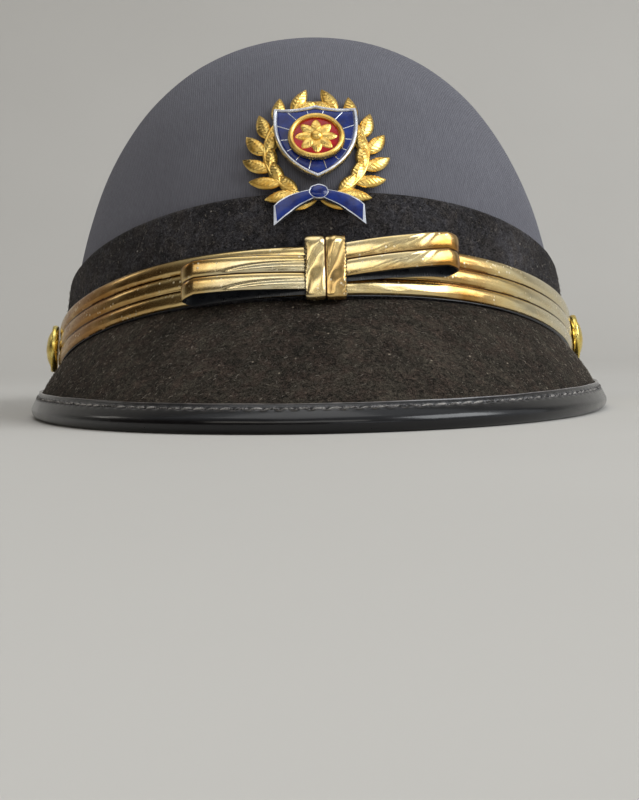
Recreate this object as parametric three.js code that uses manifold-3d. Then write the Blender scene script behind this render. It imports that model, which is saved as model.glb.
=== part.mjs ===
// A domed peaked cap for a uniform: a grey cloth crown, a black suede band, a short sloping peak with a
// rolled patent leather edge, a gilt three-ribbed strap with a flat bow between two side buttons, and an
// enamelled badge. Units are millimetres. +Z is up, the peak points along -Y, and the cap rests on z = 0.
import * as THREE from "three";
import { mergeVertices } from "three/addons/utils/BufferGeometryUtils.js";
import Module from "manifold-3d";

const wasm = await Module();
wasm.setup();

// Clearance between pieces that touch on the real cap
const seamGap = 0.35;

// Crown: a dome whose plan is an ellipse and whose height follows a superellipse
const crownHalfWidth = 85;
const crownHalfLength = 101;
const crownHeight = 126;
const crownFullness = 2.28;
const crownWall = 2;

// Rim: flat on the floor round the back, swept up over the peak at the front
const rimRise = 31.8;
const rimFlatAngle = 130;
const rimSweep = 1.65;
const rimShoulder = 1.25;

// Suede band around the foot of the crown
const bandFrontHeight = 34.6;
const bandBackHeight = 29;
const bandWall = 1.8;
const bandEdgeRound = 1.1;

// Peak and its rolled edge; its reaches are measured from the foot of the band
const peakSideReach = 8.85;
const peakFrontReach = 45.85;
const peakCentreForward = 8;
const peakBoard = 2.2;
const peakCrowning = 1.4;
const peakCrownedLength = 30;
const peakSeamRaise = 0.9;
const peakEndAngle = 104;
const peakRoundStart = 78;
const rollRadius = 2.6;
const flangeLength = 5.2;
const flangeWall = 0.8;

// Strap with three ribs, laid on the band from button to button
const strapWidth = 14.5;
const strapBody = 0.7;
const strapRibBulge = 0.9;
const strapRaise = 4.3;
const strapEndAngle = 90;
const strapTipShare = 0.6;
const strapRibCount = 3;

// Bow: two folded loops of narrower tape and a two-ribbed knot wrapped around them
const tapeWidth = 10;
const tapeBody = 0.45;
const tapeRibBulge = 0.45;
const tapeRibCount = 2;
const loopDepth = 5;
const loopFoldLength = 3;
const loopBackDropAtKnot = 0.9;
const loopBackDropAtTip = 3.2;
const loopStart = 0.8;
const knotWidth = 12;
const knotHeight = 18.4;
const knotBody = 0.45;
const knotRibBulge = 0.4;
const knotCorner = 1;
const bowReach = 40.5;
// Each loop's length as a share of the bow's reach, and its rise over the strap's middle at the knot and
// at its tip, as shares of the strap's width
const bowLoops = [
  { name: "bow_loop_left", side: -1, lengthShare: 1, riseAtKnot: -0.05, riseAtTip: 0.05 },
  { name: "bow_loop_right", side: 1, lengthShare: 0.95, riseAtKnot: 0.145, riseAtTip: 0.54 },
];

// Side buttons
const buttonDiameter = 16;
const buttonHeight = 4;
const buttonAngle = 84;
// From the middle of the back round the rim to the middle of the dome, as shares of radius and height
const buttonProfile = [
  { across: 0, up: 0 },
  { across: 0.9, up: 0 },
  { across: 1, up: 0.22 },
  { across: 1, up: 0.4 },
  { across: 0.93, up: 0.52 },
  { across: 0.86, up: 0.4 },
  { across: 0.55, up: 0.82 },
  { across: 0, up: 1 },
];

// Badge: sizes of its parts, how far its foot overlaps the band, and where it touches the crown
const badgeWidth = 44;
const badgeHeight = 41;
const badgeOverlap = 6.2;
const badgeSideShift = -1.2;
const badgeBendRadius = 85;
const badgeTouchShare = 0.67;
const badgeClearance = 0.5;
const leafRidge = 1.5;
const leafSeat = 0.3;
const leafStagger = 0.1;
const leafPairs = 7;
const leafLength = 9.5;
const leafWidth = 4.4;
const footLeafLength = 12.5;
const footLeafWidth = 6;
const stemWidth = 2.4;
const stemThickness = 1.1;
const stemStartAngle = -90;
const stemEndAngle = 72;
const leafStartAngle = -66;
const leafOutwardTurn = 34;
const leafInwardTurn = 26;
const footLeafDroop = 14;
const shieldWidth = 25;
const shieldHeight = 26.5;
const shieldPlate = 1.3;
const shieldRim = 0.6;
const shieldRimWidth = 1.1;
const medallionDiameter = 16.5;
const medallionRim = 1.5;
const medallionHeight = 2;
const rosettePetals = 8;
const tieWidth = 5;
const tieThickness = 1.1;
const tieTailLength = 15;
const tieDroop = 30;

// Facets around the crown and along the swept pieces
const aroundCount = 56;
const crownRings = 9;
const peakCount = 44;
const peakRows = 5;
const strapCount = 36;
const latheCount = 24;

const radians = THREE.MathUtils.degToRad;

// Skins closed solids: loops of equal length joined by quads, then closed by poles, caps or a wrap
function skin(loops, { poles = null, capOutline = null, wrap = false } = {}) {
  const faces = [];
  const addFace = (a, b, c) => {
    const tiny = 1e-4;
    if (a.distanceTo(b) < tiny || b.distanceTo(c) < tiny || a.distanceTo(c) < tiny) return;
    faces.push(a, b, c);
  };
  const count = loops[0].length;
  const last = wrap ? loops.length : loops.length - 1;
  for (let i = 0; i < last; i++) {
    const here = loops[i];
    const next = loops[(i + 1) % loops.length];
    for (let j = 0; j < count; j++) {
      const k = (j + 1) % count;
      addFace(here[j], here[k], next[k]);
      addFace(here[j], next[k], next[j]);
    }
  }
  if (poles) {
    const top = loops[loops.length - 1];
    for (let j = 0; j < count; j++) {
      const k = (j + 1) % count;
      addFace(poles[0], loops[0][k], loops[0][j]);
      addFace(poles[1], top[j], top[k]);
    }
  }
  if (capOutline) {
    const top = loops[loops.length - 1];
    const turn = Math.sign(THREE.ShapeUtils.area(capOutline));
    for (const triangle of THREE.ShapeUtils.triangulateShape(capOutline, [])) {
      const sameTurn = turn * THREE.ShapeUtils.area(triangle.map((index) => capOutline[index])) > 0;
      const [a, b, c] = sameTurn ? triangle : [...triangle].reverse();
      addFace(loops[0][c], loops[0][b], loops[0][a]);
      addFace(top[a], top[b], top[c]);
    }
  }
  return outwardGeometry(faces);
}

function outwardGeometry(faces) {
  let sixVolumes = 0;
  for (let i = 0; i < faces.length; i += 3) {
    sixVolumes += faces[i].dot(new THREE.Vector3().crossVectors(faces[i + 1], faces[i + 2]));
  }
  const points = [];
  for (let i = 0; i < faces.length; i += 3) {
    const [a, b, c] = faces.slice(i, i + 3);
    points.push(...(sixVolumes < 0 ? [a, c, b] : [a, b, c]));
  }
  const geometry = new THREE.BufferGeometry().setFromPoints(points);
  geometry.computeVertexNormals();
  return geometry;
}

// Joins closed geometries into one solid
function joined(geometries) {
  let solid = null;
  for (const geometry of geometries) {
    const bare = new THREE.BufferGeometry();
    bare.setAttribute("position", geometry.getAttribute("position"));
    const merged = mergeVertices(bare, 1e-3);
    const piece = new wasm.Manifold(
      new wasm.Mesh({
        numProp: 3,
        vertProperties: merged.attributes.position.array,
        triVerts: new Uint32Array(merged.index.array),
      }),
    );
    solid = solid ? solid.add(piece) : piece;
  }
  const mesh = solid.getMesh();
  const geometry = new THREE.BufferGeometry();
  geometry.setAttribute("position", new THREE.BufferAttribute(mesh.vertProperties, 3));
  geometry.setIndex(new THREE.BufferAttribute(mesh.triVerts, 1));
  geometry.computeVertexNormals();
  return geometry;
}

// Share of the crown's plan left at a height
function crownShare(height) {
  const up = THREE.MathUtils.clamp(height / crownHeight, 0, 1);
  return Math.pow(1 - Math.pow(up, crownFullness), 1 / crownFullness);
}

// A point on the crown's outside, pushed out level by outset; angle 0 is the front and +90 the wearer's left
function crownPoint(angle, height, outset = 0) {
  const share = crownShare(height);
  return new THREE.Vector3(
    (crownHalfWidth * share + outset) * Math.sin(angle),
    -(crownHalfLength * share + outset) * Math.cos(angle),
    height,
  );
}

// The same surface reached by a sideways distance from the front's middle
function frontPoint(sideways, height, outset) {
  const reach = crownHalfWidth * crownShare(height) + outset;
  return crownPoint(Math.asin(sideways / reach), height, outset);
}

function frontness(angle) {
  return (1 + Math.cos(angle)) / 2;
}

function rimHeight(angle) {
  const flat = Math.cos(radians(rimFlatAngle));
  const forward = Math.max((Math.cos(angle) - flat) / (1 - flat), 0);
  return rimRise * (1 - Math.pow(1 - Math.pow(forward, rimSweep), rimShoulder));
}

function bandHeight(angle) {
  return THREE.MathUtils.lerp(bandBackHeight, bandFrontHeight, frontness(angle));
}

const bandOutset = seamGap + bandWall;
const peakHalfWidth = crownHalfWidth + bandOutset + peakSideReach;
const peakReach = crownHalfLength + bandOutset + peakFrontReach;

function range(count, from, to) {
  return Array.from({ length: count + 1 }, (_, i) => from + ((to - from) * i) / count);
}

const around = range(aroundCount, -Math.PI, Math.PI).slice(0, aroundCount);

// Crown: inner loops from the top down to the rim, then outer loops back up
function crownGeometry() {
  const dome = (wall, share, angle) => {
    const height = crownHeight - wall;
    const foot = Math.asin(Math.pow(rimHeight(angle) / height, crownFullness / 2));
    const climb = foot + (Math.PI / 2 - foot) * share;
    const spread = Math.pow(Math.cos(climb), 2 / crownFullness);
    return new THREE.Vector3(
      (crownHalfWidth - wall) * spread * Math.sin(angle),
      -(crownHalfLength - wall) * spread * Math.cos(angle),
      height * Math.pow(Math.sin(climb), 2 / crownFullness),
    );
  };
  const shares = range(crownRings, 0, 1).slice(0, crownRings);
  const outer = shares.map((share) => around.map((angle) => dome(0, share, angle)));
  const inner = shares.map((share) => around.map((angle) => dome(crownWall, share, angle)));
  const poles = [
    new THREE.Vector3(0, 0, crownHeight - crownWall),
    new THREE.Vector3(0, 0, crownHeight),
  ];
  return skin([...inner.reverse(), ...outer], { poles });
}

// Band: one upright section swept around the crown, its top edge rounded
function bandGeometry() {
  const section = [
    { up: 0, out: 0 },
    { up: 1 / 3, out: 0 },
    { up: 2 / 3, out: 0 },
    { up: 1, out: 0, below: bandEdgeRound },
    { up: 1, out: 0.5 },
    { up: 1, out: 1, below: bandEdgeRound },
    { up: 2 / 3, out: 1 },
    { up: 1 / 3, out: 1 },
    { up: 0, out: 1 },
  ];
  const loops = around.map((angle) =>
    section.map(({ up, out, below = 0 }) =>
      crownPoint(angle, rimHeight(angle) + bandHeight(angle) * up - below, seamGap + bandWall * out),
    ),
  );
  return skin(loops, { wrap: true });
}

// Peak: each station runs level and square to the peak's edge, from the band to the middle of the roll
function peakStation(angle) {
  const halfWidth = peakHalfWidth - rollRadius;
  const halfReach = peakReach - peakCentreForward - rollRadius;
  const edge = new THREE.Vector3(
    halfWidth * Math.sin(angle),
    -peakCentreForward - halfReach * Math.cos(angle),
    rollRadius,
  );
  const outward = new THREE.Vector3(
    Math.sin(angle) / halfWidth,
    -Math.cos(angle) / halfReach,
    0,
  ).normalize();
  let seamAngle = angle;
  let seam = edge;
  let away = 0;
  // The band leans, so the seam's height and its distance settle together
  for (let pass = 0; pass < 6; pass++) {
    const height = rimHeight(seamAngle) + peakSeamRaise + peakBoard / 2;
    const share = crownShare(height);
    const across = crownHalfWidth * share + bandOutset + seamGap;
    const along = crownHalfLength * share + bandOutset + seamGap;
    const a = (outward.x / across) ** 2 + (outward.y / along) ** 2;
    const b = -2 * ((edge.x * outward.x) / across ** 2 + (edge.y * outward.y) / along ** 2);
    const c = (edge.x / across) ** 2 + (edge.y / along) ** 2 - 1;
    away = (-b - Math.sqrt(Math.max(b * b - 4 * a * c, 0))) / (2 * a);
    seam = edge.clone().addScaledVector(outward, -away).setZ(height);
    seamAngle = Math.atan2(seam.x / across, -seam.y / along);
  }
  // Towards its back ends the edge rounds in until the roll lies along the band
  const beyond = (Math.abs(angle) - radians(peakRoundStart)) / radians(peakEndAngle - peakRoundStart);
  const rounding = Math.sqrt(1 - THREE.MathUtils.clamp(beyond, 0, 1) ** 2);
  const closest = rollRadius + 2 * seamGap;
  const reach = closest + (away - closest) * rounding;
  edge.copy(seam).addScaledVector(outward, reach).setZ(rollRadius);
  const down = edge.clone().sub(seam);
  const length = down.length();
  const slope = down.normalize();
  const normal = outward.clone().multiplyScalar(-slope.z);
  normal.z = slope.dot(outward);
  // How far back a point at a height over the board's middle may lie before it passes the seam
  const backLimit = (over) => length - (over * slope.z) / slope.dot(outward);
  return { edge, slope, normal, length, backLimit };
}

// Stations lie closer together towards the ends, where the peak turns in quickly
const peakAngles = range(peakCount, -1, 1).map(
  (share) => (radians(peakEndAngle) * (share + Math.sin((share * Math.PI) / 2))) / 2,
);

// A point of the peak: a distance from the edge back up the slope, and a height over the board's middle
function peakPoint(station, back, over) {
  const share = back / station.length;
  const wide = Math.min(1, station.length / peakCrownedLength);
  const crowning = peakCrowning * wide * Math.max(4 * share * (1 - share), 0);
  return station.edge
    .clone()
    .addScaledVector(station.slope, -back)
    .addScaledVector(station.normal, over + crowning);
}

function peakGeometry() {
  const half = peakBoard / 2;
  const rows = range(peakRows, 1, 0);
  const outline = [
    ...rows.map((share) => new THREE.Vector2(-share, 1)),
    ...rows.map((share) => new THREE.Vector2(-share, -1)).reverse(),
  ];
  const loops = peakAngles.map((angle) => {
    const station = peakStation(angle);
    return outline.map(({ x, y }) => peakPoint(station, -x * station.backLimit(y * half), y * half));
  });
  return skin(loops, { capOutline: outline });
}

// Rolled edge: a round bead with two flanges that hold the board between them
function bindingGeometry() {
  const slot = peakBoard / 2 + seamGap;
  const flange = slot + flangeWall;
  const bead = range(6, 120, -120).map((degrees) => [
    -rollRadius * Math.cos(radians(degrees)),
    rollRadius * Math.sin(radians(degrees)),
  ]);
  const section = (backLimit) => {
    const reach = (over) => Math.min(flangeLength, backLimit(over) - seamGap);
    return [
      [reach(slot), slot],
      [reach(flange), flange],
      ...bead,
      [reach(-flange), -flange],
      [reach(-slot), -slot],
      [-seamGap, -slot],
      [-seamGap, slot],
    ];
  };
  const outline = section(() => 2 * flangeLength).map(([back, over]) => new THREE.Vector2(-back, over));
  const loops = peakAngles.map((angle) => {
    const station = peakStation(angle);
    return section(station.backLimit).map(([back, over]) => peakPoint(station, back, over));
  });
  return skin(loops, { capOutline: outline });
}

const squareOutline = [[0, 0], [1, 0], [1, 1], [0, 1]].map(([x, y]) => new THREE.Vector2(x, y));

// Outline of a ribbed tape, as distances across it and out from its back
function ribbedOutline(width, ribCount, body, bulge) {
  const ribShape = [
    { across: 0.04, out: 0 },
    { across: 0.25, out: 0.8 },
    { across: 0.5, out: 1 },
    { across: 0.75, out: 0.8 },
    { across: 0.96, out: 0 },
  ];
  const pitch = width / ribCount;
  const face = [];
  for (let rib = 0; rib < ribCount; rib++) {
    for (const { across, out } of ribShape) {
      face.push(new THREE.Vector2((rib + across) * pitch, body + bulge * out));
    }
  }
  return [new THREE.Vector2(0, 0), ...face, new THREE.Vector2(width, 0)];
}

// The strap stands off the band a little where the knot passes behind it
const knotWall = knotBody + knotRibBulge;

function strapLift(sideways) {
  const beyond = Math.max(Math.abs(sideways) - knotWidth / 2, 0) / knotWidth;
  return (knotWall + seamGap) * Math.exp(-(beyond ** 2));
}

function strapGeometry() {
  const outline = ribbedOutline(strapWidth, strapRibCount, strapBody, strapRibBulge);
  const angles = range(strapCount, -radians(strapEndAngle), radians(strapEndAngle));
  const loops = angles.map((angle, index) => {
    const lift = strapLift(crownHalfWidth * Math.sin(angle));
    const middle = rimHeight(angle) + strapRaise + strapWidth / 2;
    const wide = index === 0 || index === strapCount ? strapTipShare : 1;
    return outline.map(({ x, y }) =>
      crownPoint(angle, middle + (x - strapWidth / 2) * wide, bandOutset + seamGap + lift + y),
    );
  });
  return skin(loops, { capOutline: outline });
}

const strapFront = strapBody + strapRibBulge;
const tapeWall = tapeBody + tapeRibBulge;

// One folded loop, from under the knot out along the strap, around its tip and back
function loopGeometry({ side, lengthShare, riseAtKnot, riseAtTip }) {
  const length = bowReach * lengthShare;
  const outline = ribbedOutline(tapeWidth, tapeRibCount, tapeBody, tapeRibBulge);
  const backOut = (sideways) => seamGap + strapLift(sideways) + strapFront + seamGap + tapeWall;
  const frontOut = (sideways) => {
    const beyond = Math.max(sideways - knotWidth / 2, 0) / (length - knotWidth / 2);
    return backOut(sideways) + seamGap + (loopDepth - seamGap) * Math.sin((beyond * Math.PI) / 2);
  };
  const tipStart = length - loopFoldLength;
  const path = [];
  for (const share of [0, 0.12, 0.2, 0.35, 0.5, 0.65, 0.8, 0.92]) {
    const sideways = loopStart + (tipStart - loopStart) * share;
    path.push({ sideways, out: frontOut(sideways), drop: 0 });
  }
  const middle = (frontOut(tipStart) + backOut(tipStart)) / 2;
  const half = (frontOut(tipStart) - backOut(tipStart)) / 2;
  for (const degrees of [90, 60, 30, 0, -30, -60, -90]) {
    path.push({
      sideways: tipStart + loopFoldLength * Math.cos(radians(degrees)),
      out: middle + half * Math.sin(radians(degrees)),
      drop: 0.5 - degrees / 180,
    });
  }
  for (const share of [0.85, 0.65, 0.45, 0.25, 0.12, 0]) {
    const sideways = loopStart + (tipStart - loopStart) * share;
    path.push({ sideways, out: backOut(sideways), drop: 1 });
  }
  const loops = path.map((point, index) => {
    const before = path[Math.max(index - 1, 0)];
    const after = path[Math.min(index + 1, path.length - 1)];
    const heading = new THREE.Vector2(after.sideways - before.sideways, after.out - before.out).normalize();
    const along = point.sideways / length;
    const rise = THREE.MathUtils.lerp(riseAtKnot, riseAtTip, along) * strapWidth;
    const drop = THREE.MathUtils.lerp(loopBackDropAtKnot, loopBackDropAtTip, along) * point.drop;
    const angle = Math.asin(point.sideways / crownHalfWidth);
    const middleHeight = rimHeight(angle) + strapRaise + strapWidth / 2 + rise;
    const foot = middleHeight - tapeWidth / 2 - drop;
    return outline.map(({ x, y }) =>
      frontPoint(
        side * (point.sideways - heading.y * y),
        foot + x,
        bandOutset + point.out + heading.x * y,
      ),
    );
  });
  return skin(loops, { capOutline: outline });
}

// Knot: a closed two-ribbed ring around the strap and the loops
function knotGeometry() {
  const outline = ribbedOutline(knotWidth, tapeRibCount, knotBody, knotRibBulge);
  const innerOut = seamGap + knotWall;
  const outerOut = innerOut + strapFront + 2 * tapeWall + 4 * seamGap;
  const low = strapRaise - seamGap;
  const high = low + knotHeight - 2 * knotWall;
  const corner = knotCorner;
  const path = [
    { up: low, out: innerOut, nu: -0.7, no: -0.7 },
    { up: low, out: (innerOut + outerOut) / 2, nu: -1, no: 0 },
    { up: low, out: outerOut - corner, nu: -1, no: 0 },
    { up: low + corner * 0.4, out: outerOut - corner * 0.4, nu: -0.7, no: 0.7 },
    { up: low + corner, out: outerOut, nu: 0, no: 1 },
    { up: (2 * low + high) / 3, out: outerOut, nu: 0, no: 1 },
    { up: (low + 2 * high) / 3, out: outerOut, nu: 0, no: 1 },
    { up: high - corner, out: outerOut, nu: 0, no: 1 },
    { up: high - corner * 0.4, out: outerOut - corner * 0.4, nu: 0.7, no: 0.7 },
    { up: high, out: outerOut - corner, nu: 1, no: 0 },
    { up: high, out: (innerOut + outerOut) / 2, nu: 1, no: 0 },
    { up: high, out: innerOut, nu: 0.7, no: -0.7 },
    { up: (low + 2 * high) / 3, out: innerOut, nu: 0, no: -1 },
    { up: (2 * low + high) / 3, out: innerOut, nu: 0, no: -1 },
  ];
  const loops = path.map(({ up, out, nu, no }) =>
    outline.map(({ x, y }) =>
      frontPoint(x - knotWidth / 2, rimRise + up + nu * y, bandOutset + out + no * y),
    ),
  );
  return skin(loops, { wrap: true });
}

// Button: a shallow dome inside a raised rim, turned about its own axis
function buttonGeometry() {
  const radius = buttonDiameter / 2;
  const profile = buttonProfile.map(
    ({ across, up }) => new THREE.Vector2(across * radius, up * buttonHeight),
  );
  return new THREE.LatheGeometry(profile, latheCount);
}

function placeButton(mesh, side) {
  const angle = side * radians(buttonAngle);
  const height = rimHeight(angle) + strapRaise + strapWidth / 2;
  const seat = bandOutset + seamGap + strapFront + seamGap;
  mesh.position.copy(crownPoint(angle, height, seat));
  const share = crownShare(height);
  const lower = crownPoint(angle, height - strapWidth / 2);
  const upper = crownPoint(angle, height + strapWidth / 2);
  const upward = upper.sub(lower).normalize();
  const forward = new THREE.Vector3(
    crownHalfWidth * share * Math.cos(angle),
    crownHalfLength * share * Math.sin(angle),
    0,
  ).normalize();
  const outward = new THREE.Vector3().crossVectors(forward, upward).normalize();
  mesh.quaternion.setFromUnitVectors(new THREE.Vector3(0, 1, 0), outward);
}

// Badge frame: it leans on the band's top edge and on the crown above it
function badgeFrame() {
  const lower = crownPoint(0, rimHeight(0) + bandHeight(0), bandOutset);
  const upper = crownPoint(0, crownHeight * badgeTouchShare);
  const upward = upper.clone().sub(lower).normalize();
  const outward = new THREE.Vector3().crossVectors(new THREE.Vector3(1, 0, 0), upward);
  const middle = lower
    .clone()
    .addScaledVector(upward, badgeHeight / 2 - badgeOverlap)
    .addScaledVector(outward, badgeClearance);
  return { middle, upward, outward };
}

const badge = badgeFrame();

// A point of the badge: across, up its slope and out from its back, bent to the crown
function badgePoint(across, up, out) {
  const bend = (across * across) / (2 * badgeBendRadius);
  return badge.middle
    .clone()
    .addScaledVector(badge.upward, up)
    .addScaledVector(badge.outward, out - bend)
    .add(new THREE.Vector3(across + badgeSideShift, 0, 0));
}

// A pointed leaf with a ridge, from its stalk along a heading
function leafGeometry(stalk, heading, length, width, base) {
  const along = new THREE.Vector2(Math.cos(heading), Math.sin(heading));
  const aside = new THREE.Vector2(-along.y, along.x);
  const place = (share, across, out) => {
    const flat = stalk.clone().addScaledVector(along, share * length).addScaledVector(aside, across);
    return badgePoint(flat.x, flat.y, out);
  };
  const stations = [
    { share: 0.2, wide: 0.7, high: 0.8 },
    { share: 0.5, wide: 1, high: 1 },
    { share: 0.8, wide: 0.62, high: 0.75 },
  ];
  const loops = stations.map(({ share, wide, high }) => {
    const half = (width / 2) * wide;
    return [
      place(share, -half, base),
      place(share, -half, base + leafRidge * 0.35 * high),
      place(share, 0, base + leafRidge * high),
      place(share, half, base + leafRidge * 0.35 * high),
      place(share, half, base),
    ];
  });
  const poles = [place(0, 0, base + leafRidge * 0.2), place(1, 0, base + leafRidge * 0.2)];
  return skin(loops, { poles });
}

// Wreath: two laurel branches that rise from the foot and stop short of each other at the top
function wreathGeometry() {
  const stemHalfWidth = badgeWidth / 2 - leafLength * 0.72;
  const stemHalfHeight = badgeHeight / 2 - leafLength * 0.4;
  const onStem = (degrees, side, wider = 0) =>
    new THREE.Vector2(
      side * (stemHalfWidth + wider) * Math.cos(radians(degrees)),
      (stemHalfHeight + wider) * Math.sin(radians(degrees)),
    );
  const headingOf = (degrees, side) => {
    const step = onStem(degrees + 2, side).sub(onStem(degrees - 2, side));
    return Math.atan2(step.y, step.x);
  };
  const pieces = [];
  for (const side of [-1, 1]) {
    const loops = range(10, stemStartAngle, stemEndAngle).map((degrees) => {
      const inner = onStem(degrees, side, -stemWidth / 2);
      const outer = onStem(degrees, side, stemWidth / 2);
      return [
        badgePoint(inner.x, inner.y, 0),
        badgePoint(inner.x, inner.y, stemThickness),
        badgePoint(outer.x, outer.y, stemThickness),
        badgePoint(outer.x, outer.y, 0),
      ];
    });
    pieces.push(skin(loops, { capOutline: squareOutline }));
    for (let pair = 0; pair < leafPairs; pair++) {
      const degrees = THREE.MathUtils.lerp(leafStartAngle, stemEndAngle - 8, pair / (leafPairs - 1));
      const base = leafSeat + leafStagger * (pair % 2);
      for (const turn of [-side * leafOutwardTurn, side * leafInwardTurn]) {
        const heading = headingOf(degrees, side) + radians(turn);
        pieces.push(leafGeometry(onStem(degrees, side), heading, leafLength, leafWidth, base));
      }
    }
    const tipHeading = headingOf(stemEndAngle, side);
    const tipStalk = onStem(stemEndAngle - 4, side);
    pieces.push(leafGeometry(tipStalk, tipHeading, leafLength * 0.8, leafWidth, leafSeat));
    const footHeading = headingOf(stemStartAngle, side) - radians(side * footLeafDroop);
    const foot = new THREE.Vector2(0, -stemHalfHeight);
    pieces.push(leafGeometry(foot, footHeading, footLeafLength, footLeafWidth, leafSeat));
  }
  return joined(pieces);
}

// Shield outline from its top middle round to the point and back
function shieldOutline(width, height) {
  const half = width / 2;
  const curve = new THREE.Shape();
  curve.moveTo(0, height * 0.47);
  curve.quadraticCurveTo(half * 0.5, height * 0.39, half * 0.98, height * 0.45);
  curve.bezierCurveTo(half * 1.08, height * 0.05, half * 0.85, -height * 0.32, 0, -height * 0.53);
  curve.bezierCurveTo(-half * 0.85, -height * 0.32, -half * 1.08, height * 0.05, -half * 0.98, height * 0.45);
  curve.quadraticCurveTo(-half * 0.5, height * 0.39, 0, height * 0.47);
  return curve.getPoints(7).slice(0, -1);
}

const shieldBase = leafSeat + leafStagger + leafRidge + seamGap;
const shieldMiddleUp = badgeHeight * 0.05;
const tieMiddleUp = -badgeHeight * 0.42;

function shieldGeometry() {
  const outline = shieldOutline(shieldWidth, shieldHeight);
  const narrow = 1 - (2 * shieldRimWidth) / shieldWidth;
  const levels = [
    [0, 1],
    [shieldPlate + shieldRim * 0.6, 1],
    [shieldPlate + shieldRim, 1 - (1 - narrow) * 0.4],
    [shieldPlate, narrow],
  ];
  const loops = levels.map(([out, share]) =>
    outline.map(({ x, y }) => badgePoint(x * share, shieldMiddleUp + y * share, shieldBase + out)),
  );
  const poles = [0, shieldPlate].map((out) => badgePoint(0, shieldMiddleUp, shieldBase + out));
  return skin(loops, { poles });
}

// Medallion: a gilt ring around a red field with a rosette of petals
function medallionGeometry() {
  const base = shieldBase + shieldPlate + seamGap;
  const radius = medallionDiameter / 2;
  const inner = radius - medallionRim;
  const count = 4 * rosettePetals;
  const levels = [
    { radius, out: 0 },
    { radius, out: medallionHeight * 0.75 },
    { radius: radius - medallionRim * 0.5, out: medallionHeight },
    { radius: inner, out: medallionHeight * 0.75 },
    { radius: inner, out: medallionHeight * 0.45 },
    { radius: inner * 0.8, out: medallionHeight * 0.45, petal: 0.2 },
    { radius: inner * 0.66, out: medallionHeight * 0.85, petal: 0.25 },
    { radius: inner * 0.25, out: medallionHeight * 0.75 },
    { radius: inner * 0.2, out: medallionHeight * 1.05 },
  ];
  const loops = levels.map((level) =>
    Array.from({ length: count }, (_, index) => {
      const turn = (2 * Math.PI * index) / count;
      const scallop = 1 + (level.petal ?? 0) * (Math.cos(turn * rosettePetals) - 1);
      const across = level.radius * scallop * Math.sin(turn);
      const up = level.radius * scallop * Math.cos(turn);
      return badgePoint(across, shieldMiddleUp + up, base + level.out);
    }),
  );
  const poles = [0, medallionHeight * 1.15].map((out) => badgePoint(0, shieldMiddleUp, base + out));
  return skin(loops, { poles });
}

// Tie: a plain knot over the crossed stems, with two short slanting ends
function tieGeometry() {
  const knotHalf = tieWidth * 0.55;
  const rows = [
    { share: 0, rise: 0, wide: 0.5 },
    { share: 0.25, rise: 0.05, wide: 0.75 },
    { share: 0.5, rise: 0.1, wide: 0.95 },
    { share: 0.75, rise: 0.06, wide: 1.1 },
    { share: 1, rise: 0, wide: 1.2 },
  ];
  const tails = [-1, 1].map((side) => {
    const heading = new THREE.Vector2(side * Math.cos(radians(tieDroop)), -Math.sin(radians(tieDroop)));
    const aside = new THREE.Vector2(-heading.y, heading.x).multiplyScalar(side);
    const loops = rows.map(({ share, rise, wide }) => {
      const middle = new THREE.Vector2(0, tieMiddleUp)
        .addScaledVector(heading, share * tieTailLength)
        .addScaledVector(aside, rise * tieTailLength);
      const half = (tieWidth / 2) * wide;
      const slant = share === 1 ? half * 0.6 : 0;
      const upper = middle.clone().addScaledVector(aside, half).addScaledVector(heading, -slant);
      const lower = middle.clone().addScaledVector(aside, -half).addScaledVector(heading, slant);
      return [
        badgePoint(lower.x, lower.y, shieldBase),
        badgePoint(upper.x, upper.y, shieldBase),
        badgePoint(upper.x, upper.y, shieldBase + tieThickness),
        badgePoint(lower.x, lower.y, shieldBase + tieThickness),
      ];
    });
    return skin(loops, { capOutline: squareOutline });
  });
  const knotLevels = [
    { out: 0, size: 0.9 },
    { out: tieThickness, size: 1 },
    { out: tieThickness * 1.8, size: 0.7 },
  ];
  const turns = range(12, 0, 2 * Math.PI).slice(0, 12);
  const loops = knotLevels.map(({ out, size }) =>
    turns.map((turn) =>
      badgePoint(
        knotHalf * size * Math.sin(turn),
        tieMiddleUp + knotHalf * size * Math.cos(turn),
        shieldBase + out,
      ),
    ),
  );
  const poles = [0, tieThickness * 2].map((out) => badgePoint(0, tieMiddleUp, shieldBase + out));
  return joined([...tails, skin(loops, { poles })]);
}

const materials = {
  greyCloth: new THREE.MeshStandardMaterial({ color: 0x66666e, roughness: 0.95, metalness: 0 }),
  blackSuede: new THREE.MeshStandardMaterial({ color: 0x26231f, roughness: 1, metalness: 0 }),
  patentLeather: new THREE.MeshStandardMaterial({ color: 0x0c0d10, roughness: 0.18, metalness: 0 }),
  giltTape: new THREE.MeshStandardMaterial({ color: 0xb8924a, roughness: 0.25, metalness: 1 }),
  giltMetal: new THREE.MeshStandardMaterial({ color: 0xe0b040, roughness: 0.2, metalness: 1 }),
  blueEnamel: new THREE.MeshStandardMaterial({ color: 0x1d3f96, roughness: 0.15, metalness: 0 }),
};

const cap = new THREE.Group();

function add(name, geometry, material) {
  const mesh = new THREE.Mesh(geometry, material);
  mesh.name = name;
  cap.add(mesh);
  return mesh;
}

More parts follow.
